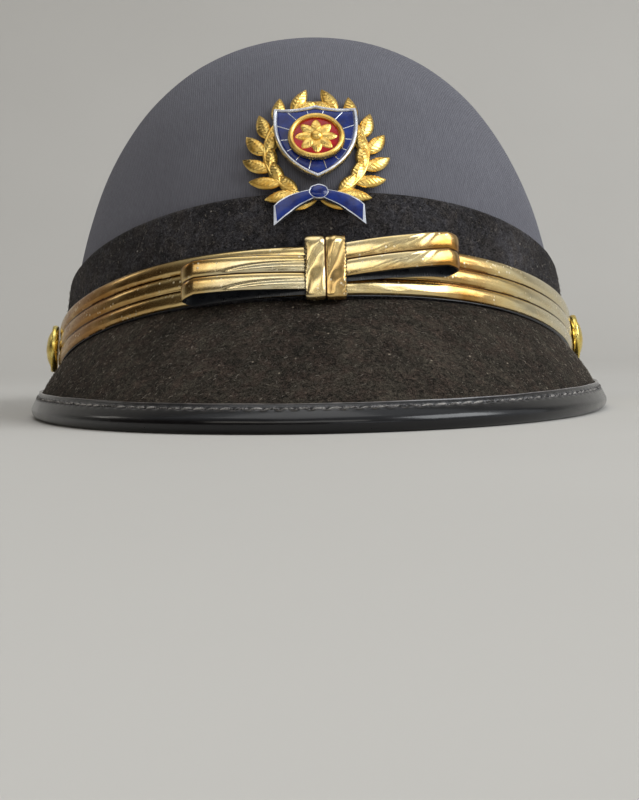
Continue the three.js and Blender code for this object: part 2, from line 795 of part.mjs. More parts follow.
add("crown", crownGeometry(), materials.greyCloth);
add("band", bandGeometry(), materials.blackSuede);
add("peak", peakGeometry(), materials.blackSuede);
add("peak_binding", bindingGeometry(), materials.patentLeather);
add("chin_strap", strapGeometry(), materials.giltTape);
for (const loop of bowLoops) add(loop.name, loopGeometry(loop), materials.giltTape);
add("bow_knot", knotGeometry(), materials.giltTape);
placeButton(add("button_left", buttonGeometry(), materials.giltMetal), -1);
placeButton(add("button_right", buttonGeometry(), materials.giltMetal), 1);
add("badge_wreath", wreathGeometry(), materials.giltMetal);
add("badge_shield", shieldGeometry(), materials.blueEnamel);
add("badge_medallion", medallionGeometry(), materials.giltMetal);
add("badge_tie", tieGeometry(), materials.blueEnamel);

// The origin lies on the floor under the middle of the whole cap
cap.position.y = peakFrontReach / 2;

export default cap;
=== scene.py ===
"""Looks of a domed uniform cap with a suede band and peak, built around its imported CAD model.

Shapes are worked out in millimetres about the middle of the head opening, with +Z up and the peak along
-Y, as in the CAD source. add_piece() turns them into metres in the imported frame.
"""

import math

import bmesh
import bpy
import numpy as np
from mathutils import Matrix, Vector, noise


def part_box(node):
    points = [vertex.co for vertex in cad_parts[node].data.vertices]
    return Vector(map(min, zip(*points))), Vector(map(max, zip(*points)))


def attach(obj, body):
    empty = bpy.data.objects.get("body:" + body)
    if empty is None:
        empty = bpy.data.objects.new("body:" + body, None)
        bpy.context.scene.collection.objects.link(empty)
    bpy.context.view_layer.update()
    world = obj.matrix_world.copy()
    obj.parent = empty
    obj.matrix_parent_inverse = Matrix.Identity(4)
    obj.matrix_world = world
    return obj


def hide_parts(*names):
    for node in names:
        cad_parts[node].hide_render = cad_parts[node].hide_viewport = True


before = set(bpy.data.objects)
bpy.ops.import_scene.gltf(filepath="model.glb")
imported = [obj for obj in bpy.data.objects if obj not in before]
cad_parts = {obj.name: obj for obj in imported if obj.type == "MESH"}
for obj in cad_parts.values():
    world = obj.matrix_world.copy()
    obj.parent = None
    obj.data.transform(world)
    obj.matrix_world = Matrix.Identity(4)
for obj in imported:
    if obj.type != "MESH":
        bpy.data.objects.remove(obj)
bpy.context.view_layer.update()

MM = 0.001
random = np.random.RandomState(11)

# Sizes that the CAD source also has
SEAM_GAP = 0.35
CROWN_HALF_WIDTH = 85
CROWN_HALF_LENGTH = 101
CROWN_FULLNESS = 2.28
CROWN_WALL = 2
RIM_RISE = 31.8
RIM_FLAT_ANGLE = 130
RIM_SWEEP = 1.65
RIM_SHOULDER = 1.25
BAND_FRONT_HEIGHT = 34.6
BAND_BACK_HEIGHT = 29
BAND_WALL = 1.8
BAND_EDGE_ROUND = 1.1
PEAK_SIDE_REACH = 8.85
PEAK_FRONT_REACH = 45.85
PEAK_CENTRE_FORWARD = 8
PEAK_BOARD = 2.2
PEAK_CROWNING = 1.4
PEAK_CROWNED_LENGTH = 30
PEAK_SEAM_RAISE = 0.9
PEAK_END_ANGLE = 104
PEAK_ROUND_START = 78
ROLL_RADIUS = 2.6
FLANGE_LENGTH = 5.2
FLANGE_WALL = 0.8
STRAP_WIDTH = 14.5
STRAP_BODY = 0.7
STRAP_RIB_BULGE = 0.9
STRAP_RAISE = 4.3
STRAP_END_ANGLE = 90
STRAP_TIP_SHARE = 0.6
STRAP_RIBS = 3
TAPE_WIDTH = 10
TAPE_BODY = 0.45
TAPE_RIB_BULGE = 0.45
TAPE_RIBS = 2
LOOP_DEPTH = 5
LOOP_FOLD_LENGTH = 3
LOOP_BACK_DROP_AT_KNOT = 0.9
LOOP_BACK_DROP_AT_TIP = 3.2
LOOP_START = 0.8
KNOT_WIDTH = 12
KNOT_HEIGHT = 18.4
KNOT_BODY = 0.45
KNOT_RIB_BULGE = 0.4
KNOT_CORNER = 1
BOW_REACH = 40.5
BOW_LOOPS = [
    {"name": "bow_loop_left", "side": -1, "length_share": 1, "rise_at_knot": -0.05, "rise_at_tip": 0.05},
    {"name": "bow_loop_right", "side": 1, "length_share": 0.95, "rise_at_knot": 0.145, "rise_at_tip": 0.54},
]
BUTTON_DIAMETER = 16
BUTTON_HEIGHT = 4
BUTTON_ANGLE = 84
BADGE_WIDTH = 44
BADGE_HEIGHT = 41
BADGE_OVERLAP = 6.2
BADGE_SIDE_SHIFT = -1.2
BADGE_BEND_RADIUS = 85
BADGE_TOUCH_SHARE = 0.67
BADGE_CLEARANCE = 0.5
LEAF_RIDGE = 1.5
LEAF_SEAT = 0.3
LEAF_STAGGER = 0.1
LEAF_PAIRS = 7
LEAF_LENGTH = 9.5
LEAF_WIDTH = 4.4
FOOT_LEAF_LENGTH = 12.5
FOOT_LEAF_WIDTH = 6
STEM_WIDTH = 2.4
STEM_START_ANGLE = -90
STEM_END_ANGLE = 72
LEAF_START_ANGLE = -66
LEAF_OUTWARD_TURN = 34
LEAF_INWARD_TURN = 26
FOOT_LEAF_DROOP = 14
SHIELD_WIDTH = 25
SHIELD_HEIGHT = 26.5
SHIELD_PLATE = 1.3
SHIELD_RIM = 0.6
SHIELD_RIM_WIDTH = 1.1
MEDALLION_DIAMETER = 16.5
MEDALLION_RIM = 1.5
MEDALLION_HEIGHT = 2
ROSETTE_PETALS = 8
TIE_WIDTH = 5
TIE_THICKNESS = 1.1
TIE_TAIL_LENGTH = 15
TIE_DROOP = 30

# Sizes that only show in the looks
NAP_RELIEF = 0.13
NAP_SIZE = 1.1
STITCH_PITCH = 4.2
STITCH_LENGTH = 3.7
STITCH_RADIUS = 0.29
STITCH_SHARE = 0.61
STITCH_MARGIN = 4
FIBRE_LENGTH = 1.0
FIBRE_RADIUS = 0.045
VEINS_PER_LEAF = 8
SELVEDGE_WIDTH = 0.9
NOTCH_PITCH = 1.1
MILLING_COUNT = 84
SHIELD_RAYS = 14

# What follows from those sizes and from the frame
CROWN_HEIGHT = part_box("crown")[1].z / MM
CENTRE_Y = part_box("crown")[1].y / MM - CROWN_HALF_LENGTH
BAND_OUTSET = SEAM_GAP + BAND_WALL
PEAK_HALF_WIDTH = CROWN_HALF_WIDTH + BAND_OUTSET + PEAK_SIDE_REACH
PEAK_REACH = CROWN_HALF_LENGTH + BAND_OUTSET + PEAK_FRONT_REACH
ON_BAND = BAND_OUTSET + SEAM_GAP
STRAP_MIDDLE_UP = STRAP_RAISE + STRAP_WIDTH / 2
STRAP_FRONT = STRAP_BODY + STRAP_RIB_BULGE
TAPE_WALL = TAPE_BODY + TAPE_RIB_BULGE
KNOT_WALL = KNOT_BODY + KNOT_RIB_BULGE
SHIELD_BASE = LEAF_SEAT + LEAF_STAGGER + LEAF_RIDGE + SEAM_GAP
SHIELD_MIDDLE_UP = BADGE_HEIGHT * 0.05
TIE_MIDDLE_UP = -BADGE_HEIGHT * 0.42


# Meshes


def unit(vectors):
    return vectors / np.linalg.norm(vectors, axis=-1, keepdims=True)


def full_turn(count):
    return np.linspace(0, 2 * math.pi, count, endpoint=False)


def lengths_along(path):
    """The distance along a path up to each of its points."""
    steps = np.linalg.norm(np.diff(path, axis=0), axis=-1)
    return np.concatenate([[0], np.cumsum(steps)])


def bell(value, middle, width):
    """1 at the middle, falling off smoothly over a width."""
    return np.exp(-(((value - middle) / width) ** 2))


def roughness_at(points, size, octaves=2):
    """Fractal noise of about -1 to 1 at each point, with features of a size."""
    flat = (points / size).reshape(-1, 3)
    values = [noise.fractal(Vector(point), 1.0, 2.0, octaves) for point in flat]
    return np.array(values).reshape(points.shape[:-1])


def skin(loops, poles=None, wrap=False, caps=False):
    """Points and faces over closed loops of equal length, closed by poles, caps or a wrap."""
    rows, columns = loops.shape[:2]
    points = loops.reshape(-1, 3)
    here = np.arange(columns)[None, :]
    after = (here + 1) % columns
    first = np.arange(rows if wrap else rows - 1)[:, None] * columns
    following = (first + columns) % (rows * columns)
    corners = [first + here, first + after, following + after, following + here]
    faces = np.stack(corners, axis=-1).reshape(-1, 4).tolist()
    last = (rows - 1) * columns
    if poles is not None:
        points = np.vstack([points, poles])
        for j in range(columns):
            k = (j + 1) % columns
            faces.append([rows * columns, k, j])
            faces.append([rows * columns + 1, last + j, last + k])
    if caps:
        faces.append(list(range(columns))[::-1])
        faces.append([last + j for j in range(columns)])
    return points, faces


def joined(parts):
    """Several meshes as one list of points and one of faces."""
    points = np.vstack([part[0] for part in parts])
    faces = []
    start = 0
    for part_points, part_faces in parts:
        faces.extend([[index + start for index in face] for face in part_faces])
        start += len(part_points)
    return points, faces


def new_mesh(name, points, faces, materials):
    mesh = bpy.data.meshes.new(name)
    mesh.from_pydata(points, [], faces)
    for material in materials:
        mesh.materials.append(material)
    return mesh


def add_object(name, data):
    made = bpy.data.objects.new(name, data)
    bpy.context.scene.collection.objects.link(made)
    return made


def add_piece(name, mesh_data, materials, replaces=(), kinds=None, fields=None, sharp=50):
    """A smooth-shaded closed mesh that rides on the cap. kinds gives each face's material, and fields the
    named values at each point that the materials read."""
    points, faces = mesh_data
    placed = (points + np.array([0, CENTRE_Y, 0])) * MM
    mesh = new_mesh(name, placed.tolist(), faces, materials)
    if kinds is not None:
        padded = np.zeros(len(faces), int)
        padded[:len(kinds)] = kinds
        mesh.polygons.foreach_set("material_index", padded)
    for field, values in (fields or {}).items():
        padded = np.zeros((len(points), 3))
        padded[:len(values)] = values
        attribute = mesh.attributes.new(field, "FLOAT_VECTOR", "POINT")
        attribute.data.foreach_set("vector", padded.ravel())
    edit = bmesh.new()
    edit.from_mesh(mesh)
    bmesh.ops.remove_doubles(edit, verts=edit.verts, dist=1e-7)
    bmesh.ops.recalc_face_normals(edit, faces=edit.faces)
    edit.to_mesh(mesh)
    edit.free()
    mesh.shade_smooth()
    mesh.set_sharp_from_angle(angle=math.radians(sharp))
    piece = add_object(name, mesh)
    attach(piece, "root")
    if replaces:
        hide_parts(*replaces)


def tube(path, radii, sides=8, up=(0, 0, 1)):
    """A closed round tube along a path, with a radius at each of its points."""
    path = np.asarray(path, float)
    heading = unit(np.gradient(path, axis=0))
    aside = unit(np.cross(heading, np.asarray(up, float)))
    over = np.cross(aside, heading)
    turns = full_turn(sides)
    radii = np.broadcast_to(radii, len(path))[:, None, None]
    ring = np.cos(turns)[None, :, None] * aside[:, None] + np.sin(turns)[None, :, None] * over[:, None]
    return skin(path[:, None] + radii * ring, poles=path[[0, -1]])


# Shapes of the cap, as the CAD source works them out


def crown_share(height):
    """Share of the crown's plan that is left at a height."""
    up = np.clip(np.asarray(height, float) / CROWN_HEIGHT, 0, 1)
    return (1 - up**CROWN_FULLNESS) ** (1 / CROWN_FULLNESS)


def crown_point(angle, height, outset=0.0):
    """A point outside the crown; angle 0 is the front and +90 degrees the wearer's left."""
    angle, height, outset = np.broadcast_arrays(angle, height, outset)
    share = crown_share(height)
    across = (CROWN_HALF_WIDTH * share + outset) * np.sin(angle)
    along = -(CROWN_HALF_LENGTH * share + outset) * np.cos(angle)
    return np.stack([across, along, height], axis=-1)


def front_point(sideways, height, outset):
    """The same surface reached by a sideways distance from the front's middle."""
    reach = CROWN_HALF_WIDTH * crown_share(height) + outset
    return crown_point(np.arcsin(sideways / reach), height, outset)


def rim_height(angle):
    flat = math.cos(math.radians(RIM_FLAT_ANGLE))
    forward = np.maximum((np.cos(angle) - flat) / (1 - flat), 0)
    return RIM_RISE * (1 - (1 - forward**RIM_SWEEP) ** RIM_SHOULDER)


def band_height(angle):
    frontness = (1 + np.cos(angle)) / 2
    return BAND_BACK_HEIGHT + (BAND_FRONT_HEIGHT - BAND_BACK_HEIGHT) * frontness


def crown_dome(angle, wall, share, foot_height):
    height = CROWN_HEIGHT - wall
    foot = np.arcsin((foot_height / height) ** (CROWN_FULLNESS / 2))
    climb = foot + (math.pi / 2 - foot) * share
    spread = np.cos(climb) ** (2 / CROWN_FULLNESS)
    across = (CROWN_HALF_WIDTH - wall) * spread * np.sin(angle)
    along = -(CROWN_HALF_LENGTH - wall) * spread * np.cos(angle)
    return np.stack([across, along, height * np.sin(climb) ** (2 / CROWN_FULLNESS)], axis=-1)


class PeakStations:
    """Sections of the peak, level and square to its edge, from the band to the middle of its roll."""

    def __init__(self, angles):
        sine, cosine, level = np.sin(angles), np.cos(angles), 0 * angles
        half_width = PEAK_HALF_WIDTH - ROLL_RADIUS
        half_reach = PEAK_REACH - PEAK_CENTRE_FORWARD - ROLL_RADIUS
        edge = np.stack([half_width * sine, -PEAK_CENTRE_FORWARD - half_reach * cosine, level], axis=-1)
        outward = unit(np.stack([sine / half_width, -cosine / half_reach, level], axis=-1))
        seam_angle = angles
        for _ in range(6):
            height = rim_height(seam_angle) + PEAK_SEAM_RAISE + PEAK_BOARD / 2
            share = crown_share(height)
            sizes = np.stack([CROWN_HALF_WIDTH * share, CROWN_HALF_LENGTH * share, level + 1], axis=-1)
            sizes += np.array([1, 1, 0]) * ON_BAND
            a = np.sum((outward / sizes) ** 2, axis=-1)
            b = -2 * np.sum(edge * outward / sizes**2, axis=-1)
            c = np.sum((edge / sizes) ** 2, axis=-1) - 1
            away = (-b - np.sqrt(np.maximum(b * b - 4 * a * c, 0))) / (2 * a)
            seam = edge - outward * away[:, None]
            seam_angle = np.arctan2(seam[:, 0] / sizes[:, 0], -seam[:, 1] / sizes[:, 1])
        seam[:, 2] = height
        turn = math.radians(PEAK_END_ANGLE - PEAK_ROUND_START)
        beyond = np.clip((np.abs(angles) - math.radians(PEAK_ROUND_START)) / turn, 0, 1)
        closest = ROLL_RADIUS + 2 * SEAM_GAP
        reach = closest + (away - closest) * np.sqrt(1 - beyond**2)
        self.edge = seam + outward * reach[:, None]
        self.edge[:, 2] = ROLL_RADIUS
        down = self.edge - seam
        self.length = np.linalg.norm(down, axis=-1)
        self.slope = unit(down)
        self.slope_out = np.sum(self.slope * outward, axis=-1)
        self.normal = -outward * self.slope[:, 2:]
        self.normal[:, 2] = self.slope_out

    def back_limit(self, over):
        """How far back a point at a height over the board's middle may lie before it passes the seam."""
        return self.length[:, None] - over * (self.slope[:, 2] / self.slope_out)[:, None]

    def point(self, back, over):
        """Points a distance back up the slope from the edge, at a height over the board's middle."""
        share = back / self.length[:, None]
        wide = np.minimum(1, self.length / PEAK_CROWNED_LENGTH)[:, None]
        lift = over + PEAK_CROWNING * wide * np.maximum(4 * share * (1 - share), 0)
        up_slope = self.edge[:, None] - self.slope[:, None] * back[..., None]
        return up_slope + self.normal[:, None] * lift[..., None]


def peak_angles(count):
    share = np.linspace(-1, 1, count)
    return math.radians(PEAK_END_ANGLE) * (share + np.sin(share * math.pi / 2)) / 2


def strap_lift(sideways):
    """How far the strap stands off the band where the knot passes behind it."""
    beyond = np.maximum(np.abs(sideways) - KNOT_WIDTH / 2, 0) / KNOT_WIDTH
    return (KNOT_WALL + SEAM_GAP) * np.exp(-(beyond**2))


class BadgeFrame:
    """Where the badge leans on the band's top edge and on the crown above it."""

    def __init__(self):
        lower = crown_point(0, rim_height(0) + band_height(0), BAND_OUTSET)
        upper = crown_point(0, CROWN_HEIGHT * BADGE_TOUCH_SHARE)
        self.upward = unit(upper - lower)
        self.outward = np.cross([1, 0, 0], self.upward)
        climb = BADGE_HEIGHT / 2 - BADGE_OVERLAP
        self.middle = lower + self.upward * climb + self.outward * BADGE_CLEARANCE

    def point(self, across, up, out):
        """A point of the badge: across, up its slope and out from its back, bent to the crown."""
        across, up, out = np.broadcast_arrays(across, up, out)
        bent = out - across * across / (2 * BADGE_BEND_RADIUS)
        aside = np.stack([across + BADGE_SIDE_SHIFT, 0 * across, 0 * across], axis=-1)
        return self.middle + aside + up[..., None] * self.upward + bent[..., None] * self.outward


badge = BadgeFrame()


# Materials


def srgb(red, green, blue):
    """A colour on the 0 to 255 scale of a photograph, as linear values with alpha."""
    def linear(value):
        share = value / 255
        return share / 12.92 if share <= 0.04045 else ((share + 0.055) / 1.055) ** 2.4
    return (linear(red), linear(green), linear(blue), 1)


class Wire:
    """What a node puts out. Adding, subtracting or multiplying it adds a math node."""

    def __init__(self, nodes, socket):
        self.nodes = nodes
        self.socket = socket

    def __add__(self, other):
        return self.nodes.math("ADD", self, other)

    def __sub__(self, other):
        return self.nodes.math("SUBTRACT", self, other)

    def __mul__(self, other):
        return self.nodes.math("MULTIPLY", self, other)


class Nodes:
    """A node tree in the making: each call adds a node and returns the wire out of it."""

    def __init__(self, tree):
        self.tree = tree

    def connect(self, value, socket):
        if isinstance(value, Wire):
            self.tree.links.new(value.socket, socket)
        else:
            socket.default_value = value

    def node(self, kind, inputs, output=0, **settings):
        made = self.tree.nodes.new("ShaderNode" + kind)
        for setting, value in settings.items():
            setattr(made, setting, value)
        for socket, value in inputs.items():
            self.connect(value, made.inputs[socket])
        return Wire(self, made.outputs[output])

    def math(self, operation, a, b=0.0):
        return self.node("Math", {0: a, 1: b}, operation=operation)

    def dot(self, vector, direction):
        return self.node("VectorMath", {0: vector, 1: direction}, "Value", operation="DOT_PRODUCT")

    def span(self, value, low, high, start=0.0, end=1.0):
        """A value between low and high as one between start and end, held at both."""
        inputs = {"Value": value, "From Min": low, "From Max": high, "To Min": start, "To Max": end}
        return self.node("MapRange", inputs)

    def blend(self, factor, a, b):
        """A colour between two, which are wires or linear values with alpha."""
        return self.node("Mix", {0: factor, 6: a, 7: b}, 2, data_type="RGBA")


class Finish(Nodes):
    """A material in the making."""

    def __init__(self, name, settings):
        self.material = bpy.data.materials.new(name)
        self.material.use_nodes = True
        super().__init__(self.material.node_tree)
        self.shader = self.tree.nodes["Principled BSDF"]
        for socket, value in settings.items():
            self.set(socket, value)
        metres = self.node("TexCoord", {}, "Object")
        # Where the surface is, in millimetres
        self.place = self.node("VectorMath", {0: metres, "Scale": 1 / MM}, operation="SCALE")

    def set(self, socket, value):
        self.connect(value, self.shader.inputs[socket])

    def part(self, vector, index):
        return self.node("SeparateXYZ", {0: vector}, index)

    def field(self, name):
        return self.node("Attribute", {}, "Vector", attribute_name=name)

    def noise(self, vector, size, detail=2.0, rough=0.5, distortion=0.0, stretch=None):
        if stretch:
            vector = self.node("VectorMath", {0: vector, 1: stretch}, operation="MULTIPLY")
        inputs = {"Vector": vector, "Scale": 1 / size, "Detail": detail, "Roughness": rough}
        return self.node("TexNoise", {**inputs, "Distortion": distortion})

    def cells(self, vector, size, output="Distance", feature="F1"):
        return self.node("TexVoronoi", {"Vector": vector, "Scale": 1 / size}, output, feature=feature)

    def specks(self, vector, size, radii, luck):
        """Dots that fade out between two radii, in the cells whose random number is past the luck span."""
        near = self.span(self.cells(vector, size), *radii, 1, 0)
        return near * self.span(self.part(self.cells(vector, size, "Color"), 0), *luck)

    def stripes(self, vector, across, period):
        """A wave from -1 to 1 along a direction of a vector field."""
        return self.math("SINE", self.dot(vector, tuple(2 * math.pi * part / period for part in across)))

    def mix(self, factor, a, b):
        """A colour between two, which are wires or on the scale of srgb()."""
        ends = [end if isinstance(end, Wire) else srgb(*end) for end in (a, b)]
        return self.blend(factor, *ends)

    def paint(self, factor, a, b):
        self.set("Base Color", self.mix(factor, a, b))

    def bump(self, height, depth):
        """Relief of a depth in millimetres."""
        self.set("Normal", self.node("Bump", {"Height": height, "Distance": depth * MM, "Strength": 1}))


def grey_cloth():
    """Fine gabardine: steep twill lines of paler and darker yarns."""
    finish = Finish("grey_cloth", {"Roughness": 0.92, "Specular IOR Level": 0.22, "Sheen Weight": 0.22,
                                   "Sheen Roughness": 0.5, "Sheen Tint": srgb(190, 192, 205)})
    weave = finish.field("weave")
    wale = finish.stripes(weave, (1, 0.12, 0), 0.74)
    pick = finish.stripes(weave, (0.35, 1, 0), 0.42)
    yarn = finish.noise(weave, 1.6, 3, stretch=(3.2, 0.35, 1))
    slub = finish.noise(weave, 1.1, 2, stretch=(1, 0.12, 1))
    patch = finish.noise(finish.place, 26, 3)
    tone = wale * 0.2 + pick * 0.09 + yarn * 0.7 + slub * 0.35 + patch * 0.4
    finish.paint(finish.span(tone, 0.3, 1.15), (81, 80, 87), (111, 111, 118))
    finish.bump(wale + pick * 0.5 + yarn * 1.2, 0.05)
    return finish.material


def lining_cloth():
    """Plain stiffened cloth inside the crown."""
    finish = Finish("lining_cloth", {"Roughness": 0.9, "Specular IOR Level": 0.2})
    weave = finish.field("weave")
    cross = finish.stripes(weave, (1, 0, 0), 0.6) * finish.stripes(weave, (0, 1, 0), 0.6)
    tone = cross * 0.3 + finish.noise(weave, 5, 3)
    finish.paint(finish.span(tone, 0.1, 0.9), (48, 48, 54), (70, 70, 78))
    finish.bump(cross, 0.06)
    return finish.material


def black_suede(name, nap_size, dark, pale, warm, lint):
    """Brushed suede: short nap in all directions, cloudy where it was stroked, with specks of lint. The
    nap's pale side is warmer in patches."""
    finish = Finish(name, {"Roughness": 0.96, "Specular IOR Level": 0.1, "Sheen Weight": 0.14,
                           "Sheen Roughness": 0.5, "Sheen Tint": srgb(150, 142, 132)})
    place = finish.place
    nap = finish.noise(place, nap_size, 3, 0.75, 1.6)
    tufts = finish.noise(place, 1.9, 3, 0.6, 1.2)
    clouds = finish.noise(place, 17, 3)
    tone = finish.span(nap + tufts * 0.4 + clouds * 0.25, 0.72, 1.04)
    lit = finish.mix(finish.span(finish.noise(place, 4.5, 3), 0.42, 0.62), pale, warm)
    colour = finish.mix(finish.math("POWER", tone, 1.35), dark, lit)
    hair = finish.span(finish.noise(place, 0.9, 2, 0.5, 2.5, stretch=(1, 3.5, 2)), 0.66, 0.74)
    dust = finish.specks(place, 2.3, (0.06, 0.17), (0.86, 0.9)) + hair * 0.35
    finish.paint(finish.math("MINIMUM", dust, 0.85), colour, lint)
    finish.bump(nap + tufts, 0.22)
    return finish.material


def under_leather():
    """Plain smooth leather under the peak."""
    finish = Finish("under_leather", {"Specular IOR Level": 0.4})
    tone = finish.noise(finish.place, 8, 3)
    finish.paint(tone, (22, 21, 21), (38, 36, 35))
    finish.set("Roughness", finish.span(tone, 0.3, 0.7, 0.42, 0.6))
    finish.bump(finish.cells(finish.place, 0.9, feature="SMOOTH_F1"), 0.06)
    return finish.material


def patent_leather():
    """Glossy black leather with a soft grain, scuffs, a dull frosted band by the stitches and a painted
    highlight along the raised inner edge.
    """
    finish = Finish("patent_leather", {"IOR": 1.4, "Coat Weight": 0.14,
                                       "Coat Roughness": 0.1, "Coat IOR": 1.45})
    seam = finish.field("seam")
    film_and_painted_reflection = finish.span(finish.part(seam, 0), 0, 1)
    patches = finish.noise(finish.place, 6, 4, 0.6)
    scuffs = finish.span(finish.noise(finish.place, 2.2, 4, 0.7, stretch=(0.5, 0.5, 3)), 0.6, 0.8)
    frost = film_and_painted_reflection * finish.span(finish.noise(finish.place, 0.8, 3, 0.75), 0.47, 0.66)
    # The raised inner edge is painted pale in patches: a painted highlight where it would catch the light
    wear_and_highlight = finish.part(seam, 1) * finish.span(patches, 0.35, 0.6, 0.35, 0.9)
    colour = finish.mix(patches, (10, 10, 12), (21, 20, 22))
    colour = finish.mix(frost * 0.8, colour, (150, 146, 146))
    finish.paint(wear_and_highlight, colour, (178, 172, 170))
    finish.set("Roughness", finish.span(patches, 0.3, 0.7, 0.16, 0.24) + scuffs * 0.16 + film_and_painted_reflection * 0.3)
    finish.bump(patches + frost * 0.8, 0.06)
    return finish.material


def thread():
    """Waxed thread, dusty grey and grimy in places."""
    finish = Finish("thread", {"Roughness": 0.75, "Specular IOR Level": 0.3})
    grime = finish.span(finish.noise(finish.place, 5, 2), 0.35, 0.65, -0.16, 0.1)
    dust = finish.noise(finish.place, 0.45, 3, 0.7) + grime
    finish.paint(finish.span(dust, 0.35, 0.65), (40, 38, 37), (182, 178, 174))
    finish.bump(finish.stripes(finish.place, (1, 1, 0.4), 0.3), 0.03)
    return finish.material


def gilt_tape():
    """Metallised foil over a ribbed tape, cloudy and rubbed in specks, its colour painted from pale through
    gold to bronze as a painted reflection of bright and dark surroundings.
    """
    finish = Finish("gilt_tape", {"Metallic": 1.0, "Specular IOR Level": 0.5})
    tape = finish.field("tape")
    patches = finish.noise(tape, 6, 3, stretch=(0.35, 1, 0))
    haze = finish.noise(tape, 1.8, 4, 0.6, stretch=(0.5, 1, 0))
    # The painted reflection field moves the colour from pale at 0 through gold to bronze at 1, with random
    # cloudiness added
    shade = finish.part(finish.field("film_and_painted_reflection"), 0) + (patches * 0.7 + haze * 0.35 - 0.52)
    gold = finish.mix(finish.span(shade, 0, 0.5), (234, 224, 190), (230, 202, 140))
    gold = finish.mix(finish.span(shade, 0.5, 1), gold, (170, 122, 58))
    rubbed = finish.span(finish.noise(tape, 9, 2, stretch=(0.6, 1, 0)), 0.47, 0.57)
    wear_and_highlight = finish.specks(tape, 1.3, (0.12, 0.3), (0.55, 0.6)) * rubbed
    gold = finish.mix(wear_and_highlight, gold, (255, 244, 214))
    # Painted shade: dark brown down in the grooves between the ribs
    finish.paint(finish.span(finish.part(tape, 2), 0, 0.25, 1, 0), gold, (66, 42, 20))
    finish.set("Roughness", finish.span(haze, 0.3, 0.7, 0.19, 0.29) + wear_and_highlight * 0.3)
    finish.bump(haze + wear_and_highlight * 3, 0.006)
    return finish.material


def black_backing():
    """Shiny black back of the tapes."""
    finish = Finish("black_backing", {"Specular IOR Level": 0.5})
    tape = finish.field("tape")
    grain = finish.noise(tape, 1.5, 3)
    finish.paint(grain, (16, 17, 20), (34, 37, 43))
    finish.set("Roughness", finish.span(grain, 0.3, 0.7, 0.25, 0.42))
    finish.bump(finish.stripes(tape, (1, 0.2, 0), 0.5), 0.02)
    return finish.material


def metal(name, pale, deep, shine, relief):
    """Cast and plated metal: darker where it dulls, with a faint pitted relief."""
    finish = Finish(name, {"Metallic": 1.0})
    dull = finish.noise(finish.place, 2.6, 4, 0.6)
    finish.paint(finish.span(dull, 0.35, 0.7), pale, deep)
    finish.set("Roughness", finish.span(dull, 0.3, 0.7, shine, shine + 0.14))
    finish.bump(finish.noise(finish.place, 0.5, 3, 0.6), relief)
    return finish.material


def enamel(name, deep, clear):
    """Glassy enamel, a little deeper in places, with an orange-peel surface."""
    finish = Finish(name, {"Roughness": 0.2, "Specular IOR Level": 0.3, "Coat Weight": 0.2,
                           "Coat Roughness": 0.05})
    tone = finish.noise(finish.place, 3.4, 3) + finish.noise(finish.place, 0.7, 2) * 0.25
    finish.paint(finish.span(tone, 0.35, 0.85), deep, clear)
    finish.bump(finish.noise(finish.place, 1.8, 1), 0.05)
    return finish.material


def lint_fibre():
    finish = Finish("lint_fibre", {"Roughness": 0.9, "Specular IOR Level": 0.15})
    finish.paint(finish.part(finish.field("shade"), 0), (52, 46, 41), (150, 141, 130))
    return finish.material


CLOTH = grey_cloth()
LINING = lining_cloth()
SUEDE = black_suede("black_suede", 0.5, (15, 14, 16), (89, 87, 91), (91, 86, 85), (150, 144, 138))
PEAK_SUEDE = black_suede("peak_suede", 0.62, (6, 5, 4), (87, 80, 70), (91, 77, 68), (158, 146, 130))
UNDER_LEATHER = under_leather()
PATENT = patent_leather()
THREAD = thread()
GILT_TAPE = gilt_tape()
BACKING = black_backing()
BUTTON_GILT = metal("button_gilt", (251, 232, 142), (232, 196, 84), 0.2, 0.015)
GILT = metal("gilt_metal", (250, 216, 128), (226, 176, 80), 0.24, 0.025)
SILVER = metal("silver_edge", (226, 228, 234), (180, 182, 190), 0.22, 0.02)
BLUE = enamel("blue_enamel", (6, 12, 70), (14, 46, 128))
RED = enamel("red_enamel", (112, 4, 10), (186, 14, 24))
LINT = lint_fibre()


# Crown and band


def make_crown():
    """Outer and inner domes over a rounded foot."""
    columns = 240
    around = np.linspace(-math.pi, math.pi, columns, endpoint=False)
    half = CROWN_WALL / 2
    foot = rim_height(around)
    outer = crown_dome(around, 0, np.linspace(0, 1, 92)[:-1, None], foot + half)
    inner = crown_dome(around, CROWN_WALL, np.linspace(0, 1, 40)[:-1, None], foot + half)[::-1]
    turn = np.linspace(math.pi, 0, 7)[1:-1, None]
    edge = crown_point(around, foot + half * (1 - np.sin(turn)), -half * (1 - np.cos(turn)))
    outer += 0.35 * roughness_at(outer, 38)[..., None] * unit(outer)
    loops = np.concatenate([inner, edge, outer])
    # The cloth runs straight down the front and back, and its length is kept from the top outwards
    steps = np.linalg.norm(np.diff(loops, axis=0), axis=-1)
    from_last = np.cumsum(steps[::-1], axis=0)[::-1]
    length = np.concatenate([from_last, np.zeros((1, columns))])
    weave = np.stack([length * np.sin(around), length * np.cos(around), 0 * length], axis=-1)
    # Lining up to the foot and, of the faces at the two poles, on every other one
    kinds = np.zeros((len(loops) + 1) * columns, int)
    kinds[:(len(inner) + 1) * columns] = 1
    kinds[-2 * columns::2] = 1
    poles = np.array([[0, 0, CROWN_HEIGHT - CROWN_WALL], [0, 0, CROWN_HEIGHT]])
    add_piece("crown_shell", skin(loops, poles=poles), [CLOTH, LINING], ["crown"],
              kinds=kinds, fields={"weave": weave.reshape(-1, 3)})


